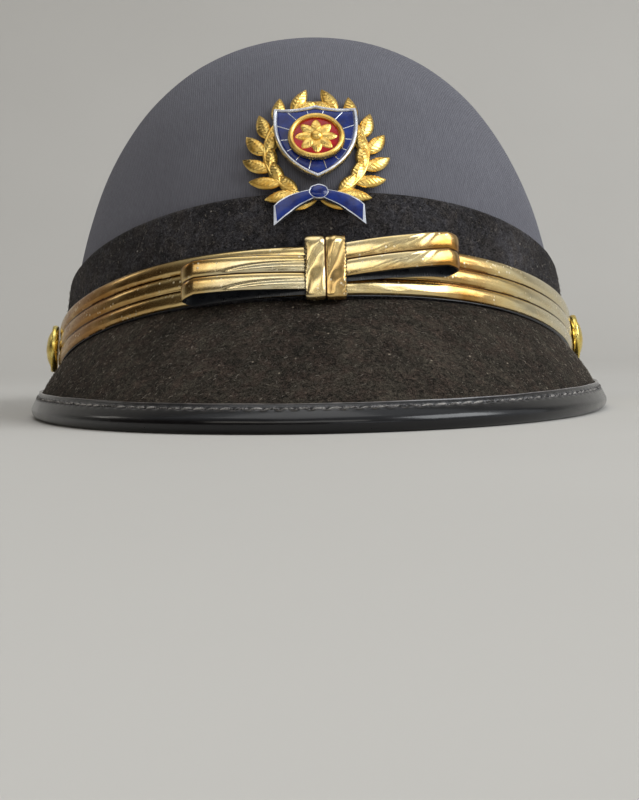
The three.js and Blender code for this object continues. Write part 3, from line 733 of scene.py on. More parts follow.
def make_band():
    """A suede band with a folded top edge, its nap raised a little everywhere."""
    around = np.linspace(-math.pi, math.pi, 620, endpoint=False)
    tall = band_height(around)
    half = BAND_WALL / 2
    foot_round = 0.5

    def wall(shares, out):
        return [(foot_round + (tall - foot_round - BAND_EDGE_ROUND) * share, out) for share in shares]

    rows = wall(np.linspace(0, 1, 10), 0)
    for turn in np.linspace(math.pi, 0, 11)[1:-1]:
        rows.append((tall + BAND_EDGE_ROUND * (math.sin(turn) - 1), half * (1 + math.cos(turn))))
    shown_from = len(rows) - 8
    rows += wall(np.linspace(1, 0, 50), BAND_WALL)
    shown_to = len(rows)
    for turn in np.linspace(0, -math.pi, 7)[1:-1]:
        rows.append((foot_round * (1 + math.sin(turn)) + 0 * tall, half * (1 + math.cos(turn))))
    foot = rim_height(around)
    loops = np.stack([crown_point(around, foot + up, SEAM_GAP + out) for up, out in rows], axis=1)
    face = loops[:, shown_from:shown_to]
    relief = NAP_RELIEF * roughness_at(face, NAP_SIZE) + 0.16 * roughness_at(face, 14)
    face += relief[..., None] * unit(face * [1, 1, 0])
    add_piece("band_suede", skin(loops, wrap=True), [SUEDE], ["band"])


# Peak


def make_peak():
    """The sloping board, in suede above and plain leather below."""
    stations = PeakStations(peak_angles(430))
    half = PEAK_BOARD / 2
    top = np.linspace(1, 0, 64)
    top_back = stations.back_limit(half) * top
    under_back = stations.back_limit(-half) * np.linspace(0, 1, 14)
    flat = stations.point(top_back, half + 0 * top_back)
    fade = np.minimum(1, 12 * top * (1 - top))
    relief = (NAP_RELIEF * roughness_at(flat, NAP_SIZE) + 0.22 * roughness_at(flat, 16)) * fade
    upper = stations.point(top_back, half + relief)
    lower = stations.point(under_back, -half + 0 * under_back)
    loops = np.concatenate([upper, lower], axis=1)
    kinds = np.zeros((len(loops) - 1, loops.shape[1]), int)
    kinds[:, len(top) - 1:] = 1
    add_piece("peak_board", skin(loops, caps=True), [PEAK_SUEDE, UNDER_LEATHER],
              ["peak"], kinds.ravel())


EDGE_ANGLES = peak_angles(1200)
EDGE_LENGTHS = lengths_along(PeakStations(EDGE_ANGLES).edge)
STITCH_SLOT = PEAK_BOARD / 2 + SEAM_GAP
STITCH_OVER = STITCH_SLOT + FLANGE_WALL
STITCH_COUNT = int((EDGE_LENGTHS[-1] - 2 * STITCH_MARGIN) / STITCH_PITCH)
STITCH_START = (EDGE_LENGTHS[-1] - (STITCH_COUNT - 1) * STITCH_PITCH) / 2


def edge_stations(lengths):
    """Stations at distances along the peak's edge."""
    return PeakStations(np.interp(lengths, EDGE_LENGTHS, EDGE_ANGLES))


def flange_reach(stations, over):
    return np.minimum(FLANGE_LENGTH, stations.back_limit(over) - SEAM_GAP)


def make_binding():
    """Rolled patent edge: a bead, a raised inner edge, and a sunk, puckered line for the stitches."""
    length = np.linspace(0, EDGE_LENGTHS[-1], 1150)
    stations = edge_stations(length)
    length = length[:, None]
    level = 0 * length
    share = np.concatenate([[0.99, 0.975, 0.95, 0.92, 0.88, 0.83, 0.78, 0.74], np.linspace(0.7, 0.5, 11),
                            [0.45, 0.38, 0.3, 0.2, 0.1]])
    profile = 0.18 * bell(share, 0.955, 0.03) - 0.3 * bell(share, 1.0, 0.018)
    profile += (ROLL_RADIUS - STITCH_OVER) * np.clip(1 - (share / STITCH_SHARE) ** 2, 0, 1)
    profile -= 0.26 * bell(share, STITCH_SHARE, 0.045)
    pitches = (length - STITCH_START) / STITCH_PITCH
    pucker = 0.08 * bell(share, STITCH_SHARE - 0.1, 0.07) + 0.056 * bell(share, STITCH_SHARE + 0.1, 0.06)
    pucker = np.cos(2 * math.pi * pitches) * (pucker - 0.1 * bell(share, STITCH_SHARE, 0.04))
    # The needle's holes lie halfway between the stitches
    pucker -= 0.3 * bell(pitches % 1, 0.5, 0.13) * bell(share, STITCH_SHARE, 0.07)
    wander = (0.05 * np.sin(length / 9) + 0.04 * np.sin(length / 3.7)) * bell(share, 0.95, 0.1)

    def face(sign):
        """From the slot to the bead, above or below the board, as distances back and heights."""
        slot = flange_reach(stations, sign * STITCH_SLOT)
        outside = flange_reach(stations, sign * STITCH_OVER) * share + wander
        heights = np.concatenate([level + STITCH_SLOT, STITCH_OVER + profile + pucker], axis=1)
        return np.concatenate([slot, outside], axis=1), sign * heights

    turn = np.radians(np.linspace(90, -90, 22))
    top, under = face(1), face(-1)
    section = [
        top,
        (level - ROLL_RADIUS * np.cos(turn), level + ROLL_RADIUS * np.sin(turn)),
        (under[0][:, ::-1], under[1][:, ::-1]),
        (level - [SEAM_GAP, SEAM_GAP], level + [-STITCH_SLOT, STITCH_SLOT]),
    ]
    loops = stations.point(*[np.concatenate(rows, axis=1) for rows in zip(*section)])
    seam = np.zeros(loops.shape)
    # Masks for the dull frosted band by the stitches and for the painted highlight on the raised inner edge
    wear_and_highlight = np.stack([bell(share, STITCH_SHARE, 0.13), bell(share, 0.965, 0.03)], axis=-1)
    under_start = 1 + len(share) + len(turn)
    seam[:, 1:1 + len(share), :2] = wear_and_highlight
    seam[:, under_start:under_start + len(share), :2] = wear_and_highlight[::-1]
    add_piece("binding_patent", skin(loops, caps=True), [PATENT], ["peak_binding"],
              fields={"seam": seam.reshape(-1, 3)})


def make_stitches():
    """One row of short slanting stitches through the binding, seen above and below."""
    along = np.linspace(-0.5, 0.5, 13)
    turns = full_turn(7)
    body = np.sqrt(np.maximum(np.cos(along * math.pi * 0.96), 0.03))[:, None]
    radius = STITCH_RADIUS * body
    parts = []
    for index in range(STITCH_COUNT):
        slack = random.uniform(0.9, 1.1, 4)
        stations = edge_stations(STITCH_START + index * STITCH_PITCH + along * STITCH_LENGTH * slack[0])
        slant = along[:, None] * 0.42 * slack[1] + (slack[2] - 1) * 0.9
        rise = STITCH_OVER - 0.22 + 0.26 * body * slack[3]
        for sign in (1, -1):
            back = flange_reach(stations, sign * STITCH_OVER) * STITCH_SHARE + slant
            loops = stations.point(back + radius * np.cos(turns), sign * (rise + radius * np.sin(turns)))
            parts.append(skin(loops, poles=loops[[0, -1]].mean(axis=1)))
    add_piece("binding_stitches", joined(parts), [THREAD])


# Strap and bow


def ribbed_section(width, ribs, body, bulge, per_rib=13):
    """Round a ribbed tape: distances across it and out from its back, and how far each point stands up
    out of the grooves. Both ends of the list are the back's corners."""
    share = np.linspace(0.035, 0.965, per_rib)
    crown = np.tile((1 - np.abs((2 * share - 1) / 0.93) ** 2.7) ** 0.62, ribs)
    across = (np.arange(ribs)[:, None] + share).ravel() * (width / ribs)
    rows = (0, across, width), (0, body + bulge * crown, 0), (1, crown, 1)
    return [np.concatenate([[start], row, [end]]) for start, row, end in rows]


def with_selvedge(across, out, depth, body):
    """The same section with a rounded black edge below the lowest rib."""
    turn = np.radians(np.linspace(-90, 80, 9))
    half = body * 0.55
    edge_across = [*(half - half * np.cos(turn) - SELVEDGE_WIDTH), -0.05]
    edge_out = [*(half + half * np.sin(turn)), 2 * half]
    rows = (edge_across, across), (edge_out, out), ([1] * len(edge_out), depth)
    return [np.concatenate([start, row[1:]]) for start, row in rows]


def tape_kinds(rows, columns, edge=1):
    """Film on the ribs, black backing on the edges and the back."""
    kinds = np.zeros((rows, columns), int)
    kinds[:, :edge] = 1
    kinds[:, columns - 2:] = 1
    return kinds.ravel()


def tape_fields(lengths, across, depth, film_and_painted_reflection):
    """What the tape's materials read: where a point is on the tape, and its painted reflection from pale 0 to
    bronze 1.
    """
    grid = np.broadcast_arrays(lengths[:, None], across[None, :], depth[None, :], film_and_painted_reflection)
    place = np.stack(grid[:3], axis=-1).reshape(-1, 3)
    return {"tape": place, "film_and_painted_reflection": np.repeat(grid[3].reshape(-1, 1), 3, axis=1)}


def add_tape(name, mesh_data, node, kinds, fields):
    add_piece(name, mesh_data, [GILT_TAPE, BACKING], [node], kinds, fields, 60)


def make_strap():
    """Three padded ribs from button to button, with the foil's slight unevenness."""
    plain = ribbed_section(STRAP_WIDTH, STRAP_RIBS, STRAP_BODY, STRAP_RIB_BULGE)
    across, out, depth = with_selvedge(*plain, STRAP_BODY)
    angles = np.radians(np.linspace(-STRAP_END_ANGLE, STRAP_END_ANGLE, 640))
    degrees = np.degrees(angles)
    lift = strap_lift(CROWN_HALF_WIDTH * np.sin(angles))
    middle = rim_height(angles) + STRAP_MIDDLE_UP
    tip = np.clip((math.radians(STRAP_END_ANGLE) - np.abs(angles)) / math.radians(4), 0, 1)
    wide = STRAP_TIP_SHARE + (1 - STRAP_TIP_SHARE) * np.sqrt(tip)
    # The black edge shows most on the wearer's left, where the strap leans off the band
    shown = 0.25 + 0.85 * np.clip((degrees - 36) / 26, 0, 1)
    reach = np.where(across < 0, across * shown[:, None], across) - STRAP_WIDTH / 2
    height = middle[:, None] + reach * wide[:, None]
    length = lengths_along(crown_point(angles, height[:, 0], ON_BAND))
    where = np.stack(np.broadcast_arrays(length[:, None] / 9, across / 1.7, 0.5), axis=-1)
    waves = 0.08 * roughness_at(where, 1.0, 2) * depth
    outset = ON_BAND + lift[:, None] + out + waves * (out > STRAP_BODY)
    loops = crown_point(angles[:, None], height, outset)
    # Painted reflection: bronze most on the wearer's right and in a patch at about 29 degrees to the wearer's
    # left, where dark surroundings would reflect, and paler further round on the wearer's left, where bright
    # ones would
    film_and_painted_reflection = 0.42 + 0.58 * bell(degrees, -58, 24) + 0.5 * bell(degrees, 29, 8) - 0.37 * bell(degrees, 62, 20)
    kinds = tape_kinds(len(angles) - 1, len(across), len(across) - len(plain[0]) + 1)
    add_tape("strap_ribbed", skin(loops, caps=True), "chin_strap", kinds,
             tape_fields(length, across, depth, film_and_painted_reflection[:, None]))


def spreading_folds(from_tip, share):
    """Creases that leave a rib's lower edge near the folded tip and run out level towards the knot."""
    relief = 0.05 * bell(share, 0.82, 0.2)
    for start, level, run, depth in ((6, 0.62, 9, 0.13), (11, 0.28, 14, 0.09)):
        line = level * (1 - np.exp(-np.maximum(from_tip - start, 0) / run))
        begun = np.clip((from_tip - start) / 5, 0, 1)
        relief = relief - begun * depth * bell(share, line, 0.1)
        relief = relief + begun * depth * 0.6 * bell(share, line - 0.2, 0.14)
    return relief


def gathering_folds(from_tip, share):
    """Creases that rise from a rib's lower edge towards the folded tip."""
    relief = 0.05 * bell(share, 0.8, 0.2)
    for start, run, depth in ((24, 22, 0.12), (15.5, 9.5, 0.17), (9.5, 6.5, 0.15)):
        line = (start - from_tip) / run
        held = np.clip((from_tip - 1.5) / 3, 0, 1) * np.clip((start - from_tip) / 4, 0, 1)
        relief = relief - held * depth * bell(share, line, 0.16)
        relief = relief + held * depth * 0.6 * bell(share, line + 0.34, 0.18)
    return relief


def make_loop(name, side, length_share, rise_at_knot, rise_at_tip):
    """One folded loop: out over the strap, round its tip and back."""
    across, out, depth = ribbed_section(TAPE_WIDTH, TAPE_RIBS, TAPE_BODY, TAPE_RIB_BULGE, 31)
    length = BOW_REACH * length_share
    tip_start = length - LOOP_FOLD_LENGTH

    def back_out(sideways):
        return SEAM_GAP + strap_lift(sideways) + STRAP_FRONT + SEAM_GAP + TAPE_WALL

    def front_out(sideways):
        beyond = np.maximum(sideways - KNOT_WIDTH / 2, 0) / (length - KNOT_WIDTH / 2)
        return back_out(sideways) + SEAM_GAP + (LOOP_DEPTH - SEAM_GAP) * np.sin(beyond * math.pi / 2)

    run = np.linspace(LOOP_START, tip_start, 150)
    back_run = run[::-2]
    turn = np.radians(np.linspace(90, -90, 31))[1:-1]
    middle = (front_out(tip_start) + back_out(tip_start)) / 2
    half = (front_out(tip_start) - back_out(tip_start)) / 2
    sideways = np.concatenate([run, tip_start + LOOP_FOLD_LENGTH * np.cos(turn), back_run])
    lifted = np.concatenate([front_out(run), middle + half * np.sin(turn), back_out(back_run)])
    drop = np.concatenate([0 * run, 0.5 - turn / math.pi, 0 * back_run + 1])
    path = np.stack([sideways, lifted], axis=-1)
    heading = unit(np.gradient(path, axis=0))
    travelled = lengths_along(path)
    along = sideways / length
    rise = (rise_at_knot + (rise_at_tip - rise_at_knot) * along) * STRAP_WIDTH
    back_drop = (LOOP_BACK_DROP_AT_KNOT + (LOOP_BACK_DROP_AT_TIP - LOOP_BACK_DROP_AT_KNOT) * along) * drop
    angle = np.arcsin(sideways / CROWN_HALF_WIDTH)
    foot = rim_height(angle) + STRAP_MIDDLE_UP + rise - TAPE_WIDTH / 2 - back_drop
    from_tip = (travelled[len(run)] - travelled)[:, None]
    share = np.clip(across, 0, None) / (TAPE_WIDTH / TAPE_RIBS) % 1
    fold = (spreading_folds if side < 0 else gathering_folds)(from_tip, share)
    where = np.stack(np.broadcast_arrays(from_tip / 4.5, across / 2.4, 4.0 + side), axis=-1)
    fold = fold + 0.07 * roughness_at(where, 1.0, 1) * (0.15 + bell(from_tip, 7, 4) * (side > 0))
    raised = out + fold * depth * (out > TAPE_BODY)
    loops = front_point(
        side * (sideways[:, None] - heading[:, 1:] * raised),
        foot[:, None] + across,
        BAND_OUTSET + lifted[:, None] + heading[:, :1] * raised,
    )
    # Painted reflection: each rib is painted bronzer along its top on the wearer's right, along its foot on
    # the left and near the folded tip, as dark surroundings would reflect there; the loop on the wearer's
    # left is a little bronzer overall
    brown_at = 1.0 if side < 0 else 0.1
    film_and_painted_reflection = 0.22 + 0.08 * side + 0.4 * bell(share, brown_at, 0.3) + 0.5 * bell(from_tip, 0, 6)
    add_tape(name + "_tape", skin(loops, caps=True), name, tape_kinds(len(sideways) - 1, len(across)),
             tape_fields(travelled + 300 + 90 * side, across, depth, film_and_painted_reflection))


def ring_path(low, high, inner, outer, front_corner, back_corner):
    """A rounded rectangle from its lower back corner forwards, as rows of heights, outward distances and
    the same two parts of the normals."""
    corners = [
        (low + back_corner, inner + back_corner, back_corner, 180),
        (low + front_corner, outer - front_corner, front_corner, 270),
        (high - front_corner, outer - front_corner, front_corner, 0),
        (high - back_corner, inner + back_corner, back_corner, 90),
    ]
    rows = []
    for centre_up, centre_out, radius, start in corners:
        turn = np.radians(np.linspace(start, start + 90, 9))
        sine, cosine = np.sin(turn), np.cos(turn)
        rows.append([centre_up + radius * sine, centre_out + radius * cosine, sine, cosine])
    return np.concatenate(rows, axis=1)


def even_steps(path, count):
    """A closed path's rows at even steps of length, and those lengths; two rows are its coordinates."""
    closed = np.concatenate([path, path[:, :1]], axis=1)
    length = lengths_along(closed[:2].T)
    wanted = np.arange(count) / count * length[-1]
    return [np.interp(wanted, length, row) for row in closed], wanted


def make_knot():
    """A two-ribbed tape wound once round the strap and the loops, deeply creased."""
    across, out, depth = ribbed_section(KNOT_WIDTH, TAPE_RIBS, KNOT_BODY, KNOT_RIB_BULGE, 19)
    inner = SEAM_GAP + KNOT_WALL
    outer = inner + STRAP_FRONT + 2 * TAPE_WALL + 4 * SEAM_GAP
    low = STRAP_RAISE - SEAM_GAP
    high = low + KNOT_HEIGHT - 2 * KNOT_WALL
    path = ring_path(low, high, inner, outer, KNOT_CORNER, 0.3)
    (up, lifted, normal_up, normal_out), travelled = even_steps(path, 280)
    front = np.clip(normal_out, 0, 1)[:, None]
    where = np.stack(np.broadcast_arrays(up[:, None] / 6, across / 4, 2.0), axis=-1)
    drift = roughness_at(where, 1.0, 1)
    rib = across // (KNOT_WIDTH / TAPE_RIBS)
    phase = 2 * math.pi * ((across - up[:, None] * 0.55) / 7.6 + 0.28 * drift + 0.3 * rib)
    creases = 0.42 * np.cos(phase) - 0.16 * np.abs(np.sin(phase / 2)) ** 8
    raised = out + front * creases * depth * (out > KNOT_BODY)
    # Small notches left by the stitches along both edges
    on_edge = bell(np.abs(across / KNOT_WIDTH - 0.5), 0.5, 0.03)
    notch = np.clip(np.sin(2 * math.pi * travelled / NOTCH_PITCH), 0, 1)[:, None] * on_edge * 0.3
    loops = front_point(
        (across - KNOT_WIDTH / 2) * (1 - notch * front * 2 / KNOT_WIDTH),
        RIM_RISE + up[:, None] + normal_up[:, None] * raised,
        BAND_OUTSET + lifted[:, None] + normal_out[:, None] * raised,
    )
    # Painted reflection: the rib on the wearer's left is painted bronzer than the other
    film_and_painted_reflection = 0.34 + 0.3 * np.clip(rib, 0, 1)
    add_tape("bow_knot_tape", skin(loops, wrap=True), "bow_knot", tape_kinds(len(up), len(across)),
             tape_fields(travelled + 600, across, depth, film_and_painted_reflection))


# Buttons


def make_button(name, side):
    """A shallow dome inside a raised, roped rim, on a closed back."""
    radius = BUTTON_DIAMETER / 2
    # Shares of the radius and of the height, from the back round the rim to the dome
    profile = [(0.3, 0), (0.6, 0), (0.9, 0), (0.96, 0.06), (1, 0.22), (1, 0.4), (0.985, 0.48), (0.955, 0.53),
               (0.925, 0.53), (0.89, 0.48), (0.865, 0.41), (0.84, 0.42), (0.8, 0.5), (0.72, 0.64),
               (0.6, 0.78), (0.45, 0.89), (0.3, 0.955), (0.15, 0.99)]
    turns = full_turn(96)
    rope = 0.012 * np.sin(turns * 32)
    angle = side * math.radians(BUTTON_ANGLE)
    height = rim_height(angle) + STRAP_MIDDLE_UP
    seat = crown_point(angle, height, ON_BAND + STRAP_FRONT + SEAM_GAP)
    upward = unit(crown_point(angle, height + STRAP_WIDTH / 2) - crown_point(angle, height - STRAP_WIDTH / 2))
    forward = unit(np.array([CROWN_HALF_WIDTH * math.cos(angle), CROWN_HALF_LENGTH * math.sin(angle), 0]))
    outward = unit(np.cross(forward, upward))
    upward = np.cross(outward, forward)
    ring = np.cos(turns)[:, None] * forward + np.sin(turns)[:, None] * upward
    loops = []
    for wide, tall in profile:
        on_rim = bell(wide, 0.95, 0.06) * (tall > 0.3)
        level = BUTTON_HEIGHT * (tall + 2 * rope * on_rim)
        loops.append(seat + radius * wide * ring + level[:, None] * outward)
    poles = np.array([seat, seat + BUTTON_HEIGHT * outward])
    add_piece(name + "_gilt", skin(np.array(loops), poles=poles), [BUTTON_GILT], [name])


# Badge


def turned(heading):
    """A heading's unit vector and the one a quarter turn to its left."""
    along = np.array([math.cos(heading), math.sin(heading)])
    return along, np.array([-along[1], along[0]])


def leaf(stalk, heading, length, width, base, veins=VEINS_PER_LEAF, ridge=LEAF_RIDGE, fullness=0.75):
    """A pointed leaf with a midrib and slanting veins, flat underneath."""
    along, aside = turned(heading)
    share = np.linspace(0, 1, 44)[1:-1, None]
    across = np.linspace(-1, 1, 15)[None, :]
    half = width / 2 * np.sin(math.pi * share**0.85) ** fullness
    swell = 0.2 + 0.8 * np.sin(math.pi * share) ** 0.6
    lobe = 0.35 + 0.65 * (1 - np.abs(across) ** 1.5)
    midrib = 0.1 * bell(across, 0, 0.1)
    vein = 0.06 * np.sin(2 * math.pi * (share * veins - 1.5 * np.abs(across))) * (1 - bell(across, 0, 0.12))
    edge = np.abs(across) ** 8
    out = base + ridge * swell * (lobe + midrib + vein * (1 - edge) - 0.315 * edge)
    flat_x = stalk[0] + along[0] * share * length + aside[0] * across * half
    flat_y = stalk[1] + along[1] * share * length + aside[1] * across * half
    top = badge.point(flat_x, flat_y, out)
    under = badge.point(flat_x, flat_y, base)[:, ::-7]
    poles = np.array([badge.point(*end, base + ridge * 0.2) for end in (stalk, stalk + along * length)])
    return skin(np.concatenate([top, under], axis=1), poles=poles)


def make_wreath():
    """Two laurel branches that rise from the foot and stop short of each other at the top."""
    half_width = BADGE_WIDTH / 2 - LEAF_LENGTH * 0.72
    half_height = BADGE_HEIGHT / 2 - LEAF_LENGTH * 0.4
    parts = []
    for side in (-1, 1):

        def on_stem(degrees):
            turn = np.radians(degrees)
            return np.array([side * half_width * np.cos(turn), half_height * np.sin(turn)])

        def heading_of(degrees):
            step = on_stem(degrees + 2) - on_stem(degrees - 2)
            return math.atan2(step[1], step[0])

        stem = on_stem(np.linspace(STEM_START_ANGLE, STEM_END_ANGLE, 40))
        parts.append(tube(badge.point(*stem, STEM_WIDTH * 0.28), STEM_WIDTH * 0.27, 10, up=badge.outward))
        for pair in range(LEAF_PAIRS):
            share = pair / (LEAF_PAIRS - 1)
            degrees = LEAF_START_ANGLE + (STEM_END_ANGLE - 8 - LEAF_START_ANGLE) * share
            base = LEAF_SEAT + LEAF_STAGGER * (pair % 2)
            for turn in (-LEAF_OUTWARD_TURN, LEAF_INWARD_TURN):
                heading = heading_of(degrees) + math.radians(side * turn)
                parts.append(leaf(on_stem(degrees), heading, LEAF_LENGTH, LEAF_WIDTH, base))
        parts.append(leaf(on_stem(STEM_END_ANGLE - 4), heading_of(STEM_END_ANGLE), LEAF_LENGTH * 0.8,
                          LEAF_WIDTH, LEAF_SEAT))
        foot_heading = heading_of(STEM_START_ANGLE) - math.radians(side * FOOT_LEAF_DROOP)
        foot = np.array([0, -half_height])
        parts.append(leaf(foot, foot_heading, FOOT_LEAF_LENGTH, FOOT_LEAF_WIDTH, LEAF_SEAT, 11))
    add_piece("wreath_gilt", joined(parts), [GILT], ["badge_wreath"])


def bezier(points, share):
    """Points on a curve of any order, from its control points."""
    points = np.asarray(points, float)
    order = len(points) - 1
    share = np.asarray(share)[:, None]
    return sum(math.comb(order, i) * (1 - share) ** (order - i) * share**i * point
               for i, point in enumerate(points))


def shield_outline(width, height):
    """From the top middle round to the point and back."""
    half = width / 2
    top = [(0, height * 0.47), (half * 0.5, height * 0.39), (half * 0.98, height * 0.45)]
    side = [top[-1], (half * 1.08, height * 0.05), (half * 0.85, -height * 0.32), (0, -height * 0.53)]
    share = np.linspace(0, 1, 34)
    right = np.concatenate([bezier(top, share)[:-1], bezier(side, share)[:-1]])
    left = np.concatenate([bezier(side, share)[-1:], (right * [-1, 1])[:0:-1]])
    return np.concatenate([right, left])


def circle(turns):
    return np.stack([np.sin(turns), np.cos(turns)], axis=-1)


def plaque(outline, levels, base, middle_up=SHIELD_MIDDLE_UP):
    """A solid of the badge: its outline at levels of height and size, closed by a point at each end."""
    loops = [badge.point(outline[:, 0] * size, middle_up + outline[:, 1] * size, base + out)
             for out, size in levels]
    poles = [badge.point(0, middle_up, base + levels[end][0]) for end in (0, -1)]
    return skin(np.array(loops), poles=np.array(poles))


def make_shield():
    """A silver-edged plate with a field of blue enamel, divided by fine silver rays."""
    outline = shield_outline(SHIELD_WIDTH, SHIELD_HEIGHT)
    narrow = 1 - 2 * SHIELD_RIM_WIDTH / SHIELD_WIDTH
    top = SHIELD_PLATE + SHIELD_RIM
    edge = plaque(outline, [(0, 1), (top * 0.5, 1), (top - 0.25, 0.998), (top - 0.08, 0.99), (top, 0.975),
                            (top, 0.955), (top - 0.08, 0.94), (top - 0.3, narrow + 0.008),
                            (SHIELD_PLATE - 0.1, narrow)], SHIELD_BASE)
    rays = []
    for index in range(SHIELD_RAYS):
        direction = circle(2 * math.pi * (index + 0.5) / SHIELD_RAYS)
        reach = np.linalg.norm(outline[np.argmax(unit(outline) @ direction)]) * (narrow - 0.02)
        x, y = direction[:, None] * np.linspace(MEDALLION_DIAMETER / 2 - 0.3, reach, 6)
        path = badge.point(x, SHIELD_MIDDLE_UP + y, SHIELD_BASE + SHIELD_PLATE + 0.06)
        rays.append(tube(path, 0.17, 8, up=badge.outward))
    add_piece("shield_edge", joined([edge, *rays]), [SILVER], ["badge_shield"])
    field = plaque(outline, [(-0.05, narrow - 0.004), (0.08, narrow - 0.012), (0.12, narrow - 0.05),
                             (0.1, narrow * 0.8), (0.1, narrow * 0.4)], SHIELD_BASE + SHIELD_PLATE)
    add_piece("shield_enamel", field, [BLUE], ["badge_shield"])


def make_medallion():
    """A milled gilt ring around red enamel, with a rosette of ridged petals."""
    base = SHIELD_BASE + SHIELD_PLATE + SEAM_GAP
    radius = MEDALLION_DIAMETER / 2
    inner = radius - MEDALLION_RIM
    tall = MEDALLION_HEIGHT
    fine = full_turn(MILLING_COUNT * 4)
    plain = circle(fine[::4])
    milled = 0.11 * np.cos(fine * MILLING_COUNT)
    ring = plaque(circle(fine), [
        (0, radius - 0.3), (0.15, radius + milled), (tall * 0.3, radius + milled),
        (tall * 0.6, radius + milled), (tall * 0.76, radius - 0.12 + 0.6 * milled),
        (tall * 0.88, radius - 0.3), (tall * 0.97, radius - 0.6), (tall * 0.97, radius - 0.85),
        (tall * 0.84, inner + 0.25), (tall * 0.68, inner + 0.05), (tall * 0.4, inner),
        (tall * 0.34, inner - 0.4)], base)
    petals = []
    for index in range(ROSETTE_PETALS):
        heading = 2 * math.pi * index / ROSETTE_PETALS
        stalk = turned(heading)[0] * 0.9 + [0, SHIELD_MIDDLE_UP]
        petals.append(leaf(stalk, heading, inner * 0.78, 3.3, base + tall * 0.42, 5, 0.62, 0.55))
    boss = plaque(plain, [(tall * 0.42, 1.75), (tall * 0.72, 1.7), (tall * 0.9, 1.45), (tall * 1.04, 1.05),
                          (tall * 1.12, 0.55)], base)
    add_piece("medallion_gilt", joined([ring, boss, *petals]), [GILT], ["badge_medallion"])
    field = plaque(plain, [(tall * 0.36, inner - 0.06), (tall * 0.44, inner - 0.06),
                           (tall * 0.47, inner - 0.4), (tall * 0.45, inner * 0.5)], base)
    add_piece("medallion_enamel", field, [RED], ["badge_medallion"])


def make_tie():
    """A plain tie of blue enamel with silver edges: a round knot and two slanting tails."""
    share = np.linspace(0.08, 1, 34)
    quarters = [0, 0.25, 0.5, 0.75, 1]
    half = TIE_WIDTH / 2 * np.interp(share, quarters, [0.5, 0.75, 0.95, 1.1, 1.2])
    rise = np.interp(share, quarters, [0, 0.05, 0.1, 0.06, 0])
    rise = np.convolve(np.pad(rise, 3, mode="edge"), np.ones(7) / 7, mode="valid")
    slant = half * 0.6 * np.clip((share - 0.7) / 0.3, 0, 1)
    fold = 0.16 * np.sin(share * 9)[:, None]
    heading, aside = turned(-math.radians(TIE_DROOP))

    def tail(side, end, low, high, inset, crown):
        """One tail as far as a share of its length, between two heights, narrowed and crowned."""
        across = np.linspace(-1, 1, 11) * (1 - inset)
        reach = (share * TIE_TAIL_LENGTH)[:, None] - slant[:, None] * across
        lift = (rise * TIE_TAIL_LENGTH)[:, None] + half[:, None] * across
        x = side * (reach * heading[0] + lift * aside[0])
        y = TIE_MIDDLE_UP + reach * heading[1] + lift * aside[1]
        upper = badge.point(x, y, SHIELD_BASE + high + fold + crown * (1 - (across / (1 - inset)) ** 2))
        lower = badge.point(x, y, SHIELD_BASE + low + fold * (low > 0))[:, ::-1]
        return skin(np.concatenate([upper, lower], axis=1)[share <= end], caps=True)

    thick = TIE_THICKNESS
    silver = [tail(side, 1, 0, thick, 0, 0) for side in (-1, 1)]
    blue = [tail(side, 0.965, thick * 0.6, thick + 0.1, 0.16, 0.14) for side in (-1, 1)]
    turns = full_turn(48)
    pinch = 1 - 0.06 * np.cos(turns * 2) + 0.02 * np.cos(turns * 7)
    outline = circle(turns) * (TIE_WIDTH * 0.55 * pinch)[:, None]
    silver.append(plaque(outline, [(0, 0.88), (thick * 0.6, 0.97), (thick * 1.1, 1), (thick * 1.35, 0.96),
                                   (thick * 1.38, 0.88), (thick * 1.2, 0.8)], SHIELD_BASE, TIE_MIDDLE_UP))
    blue.append(plaque(outline, [(thick * 1.15, 0.86), (thick * 1.32, 0.86), (thick * 1.6, 0.72),
                                 (thick * 1.85, 0.5), (thick * 1.97, 0.25)], SHIELD_BASE, TIE_MIDDLE_UP))
    add_piece("tie_edge", joined(silver), [SILVER], ["badge_tie"])
    add_piece("tie_enamel", joined(blue), [BLUE], ["badge_tie"])


# Loose fibres of the suede


def fibres(points, normals, count):
    """Short curved hairs that lie on a surface, each a closed three-sided spindle."""
    heading = unit(np.cross(normals, unit(random.normal(size=(count, 3)))))
    aside = np.cross(normals, heading)
    spans = ((0.5, 1.7), (0.08, 0.3), (-0.35, 0.35))
    length, arch, bow = [FIBRE_LENGTH * random.uniform(*span, count)[:, None] for span in spans]
    radius = FIBRE_RADIUS * random.uniform(0.7, 1.4, count)[:, None]

    def middle(share):
        hump = math.sin(math.pi * share)
        return points + heading * length * (share - 0.5) + normals * (arch * hump) + aside * (bow * hump)

    rings = []
    for share in (0.3, 0.7):
        for turn in (0, 2 * math.pi / 3, 4 * math.pi / 3):
            offset = normals * math.cos(turn) + aside * math.sin(turn)
            rings.append(middle(share) + offset * radius)
    grid = np.stack([middle(0), *rings, middle(1)], axis=1)
    pattern = [[0, 2, 1], [0, 3, 2], [0, 1, 3], [1, 2, 5, 4], [2, 3, 6, 5], [3, 1, 4, 6],
               [7, 4, 5], [7, 5, 6], [7, 6, 4]]
    faces = [[8 * index + corner for corner in face] for index in range(count) for face in pattern]
    shade = np.repeat(random.uniform(0, 1, count) ** 2, 8)
    return grid.reshape(-1, 3), faces, np.stack([shade, shade, shade], axis=-1)


def add_lint(name, points, normals):
    points, faces, shade = fibres(points, normals, len(points))
    add_piece(name, (points, faces), [LINT], fields={"shade": shade})


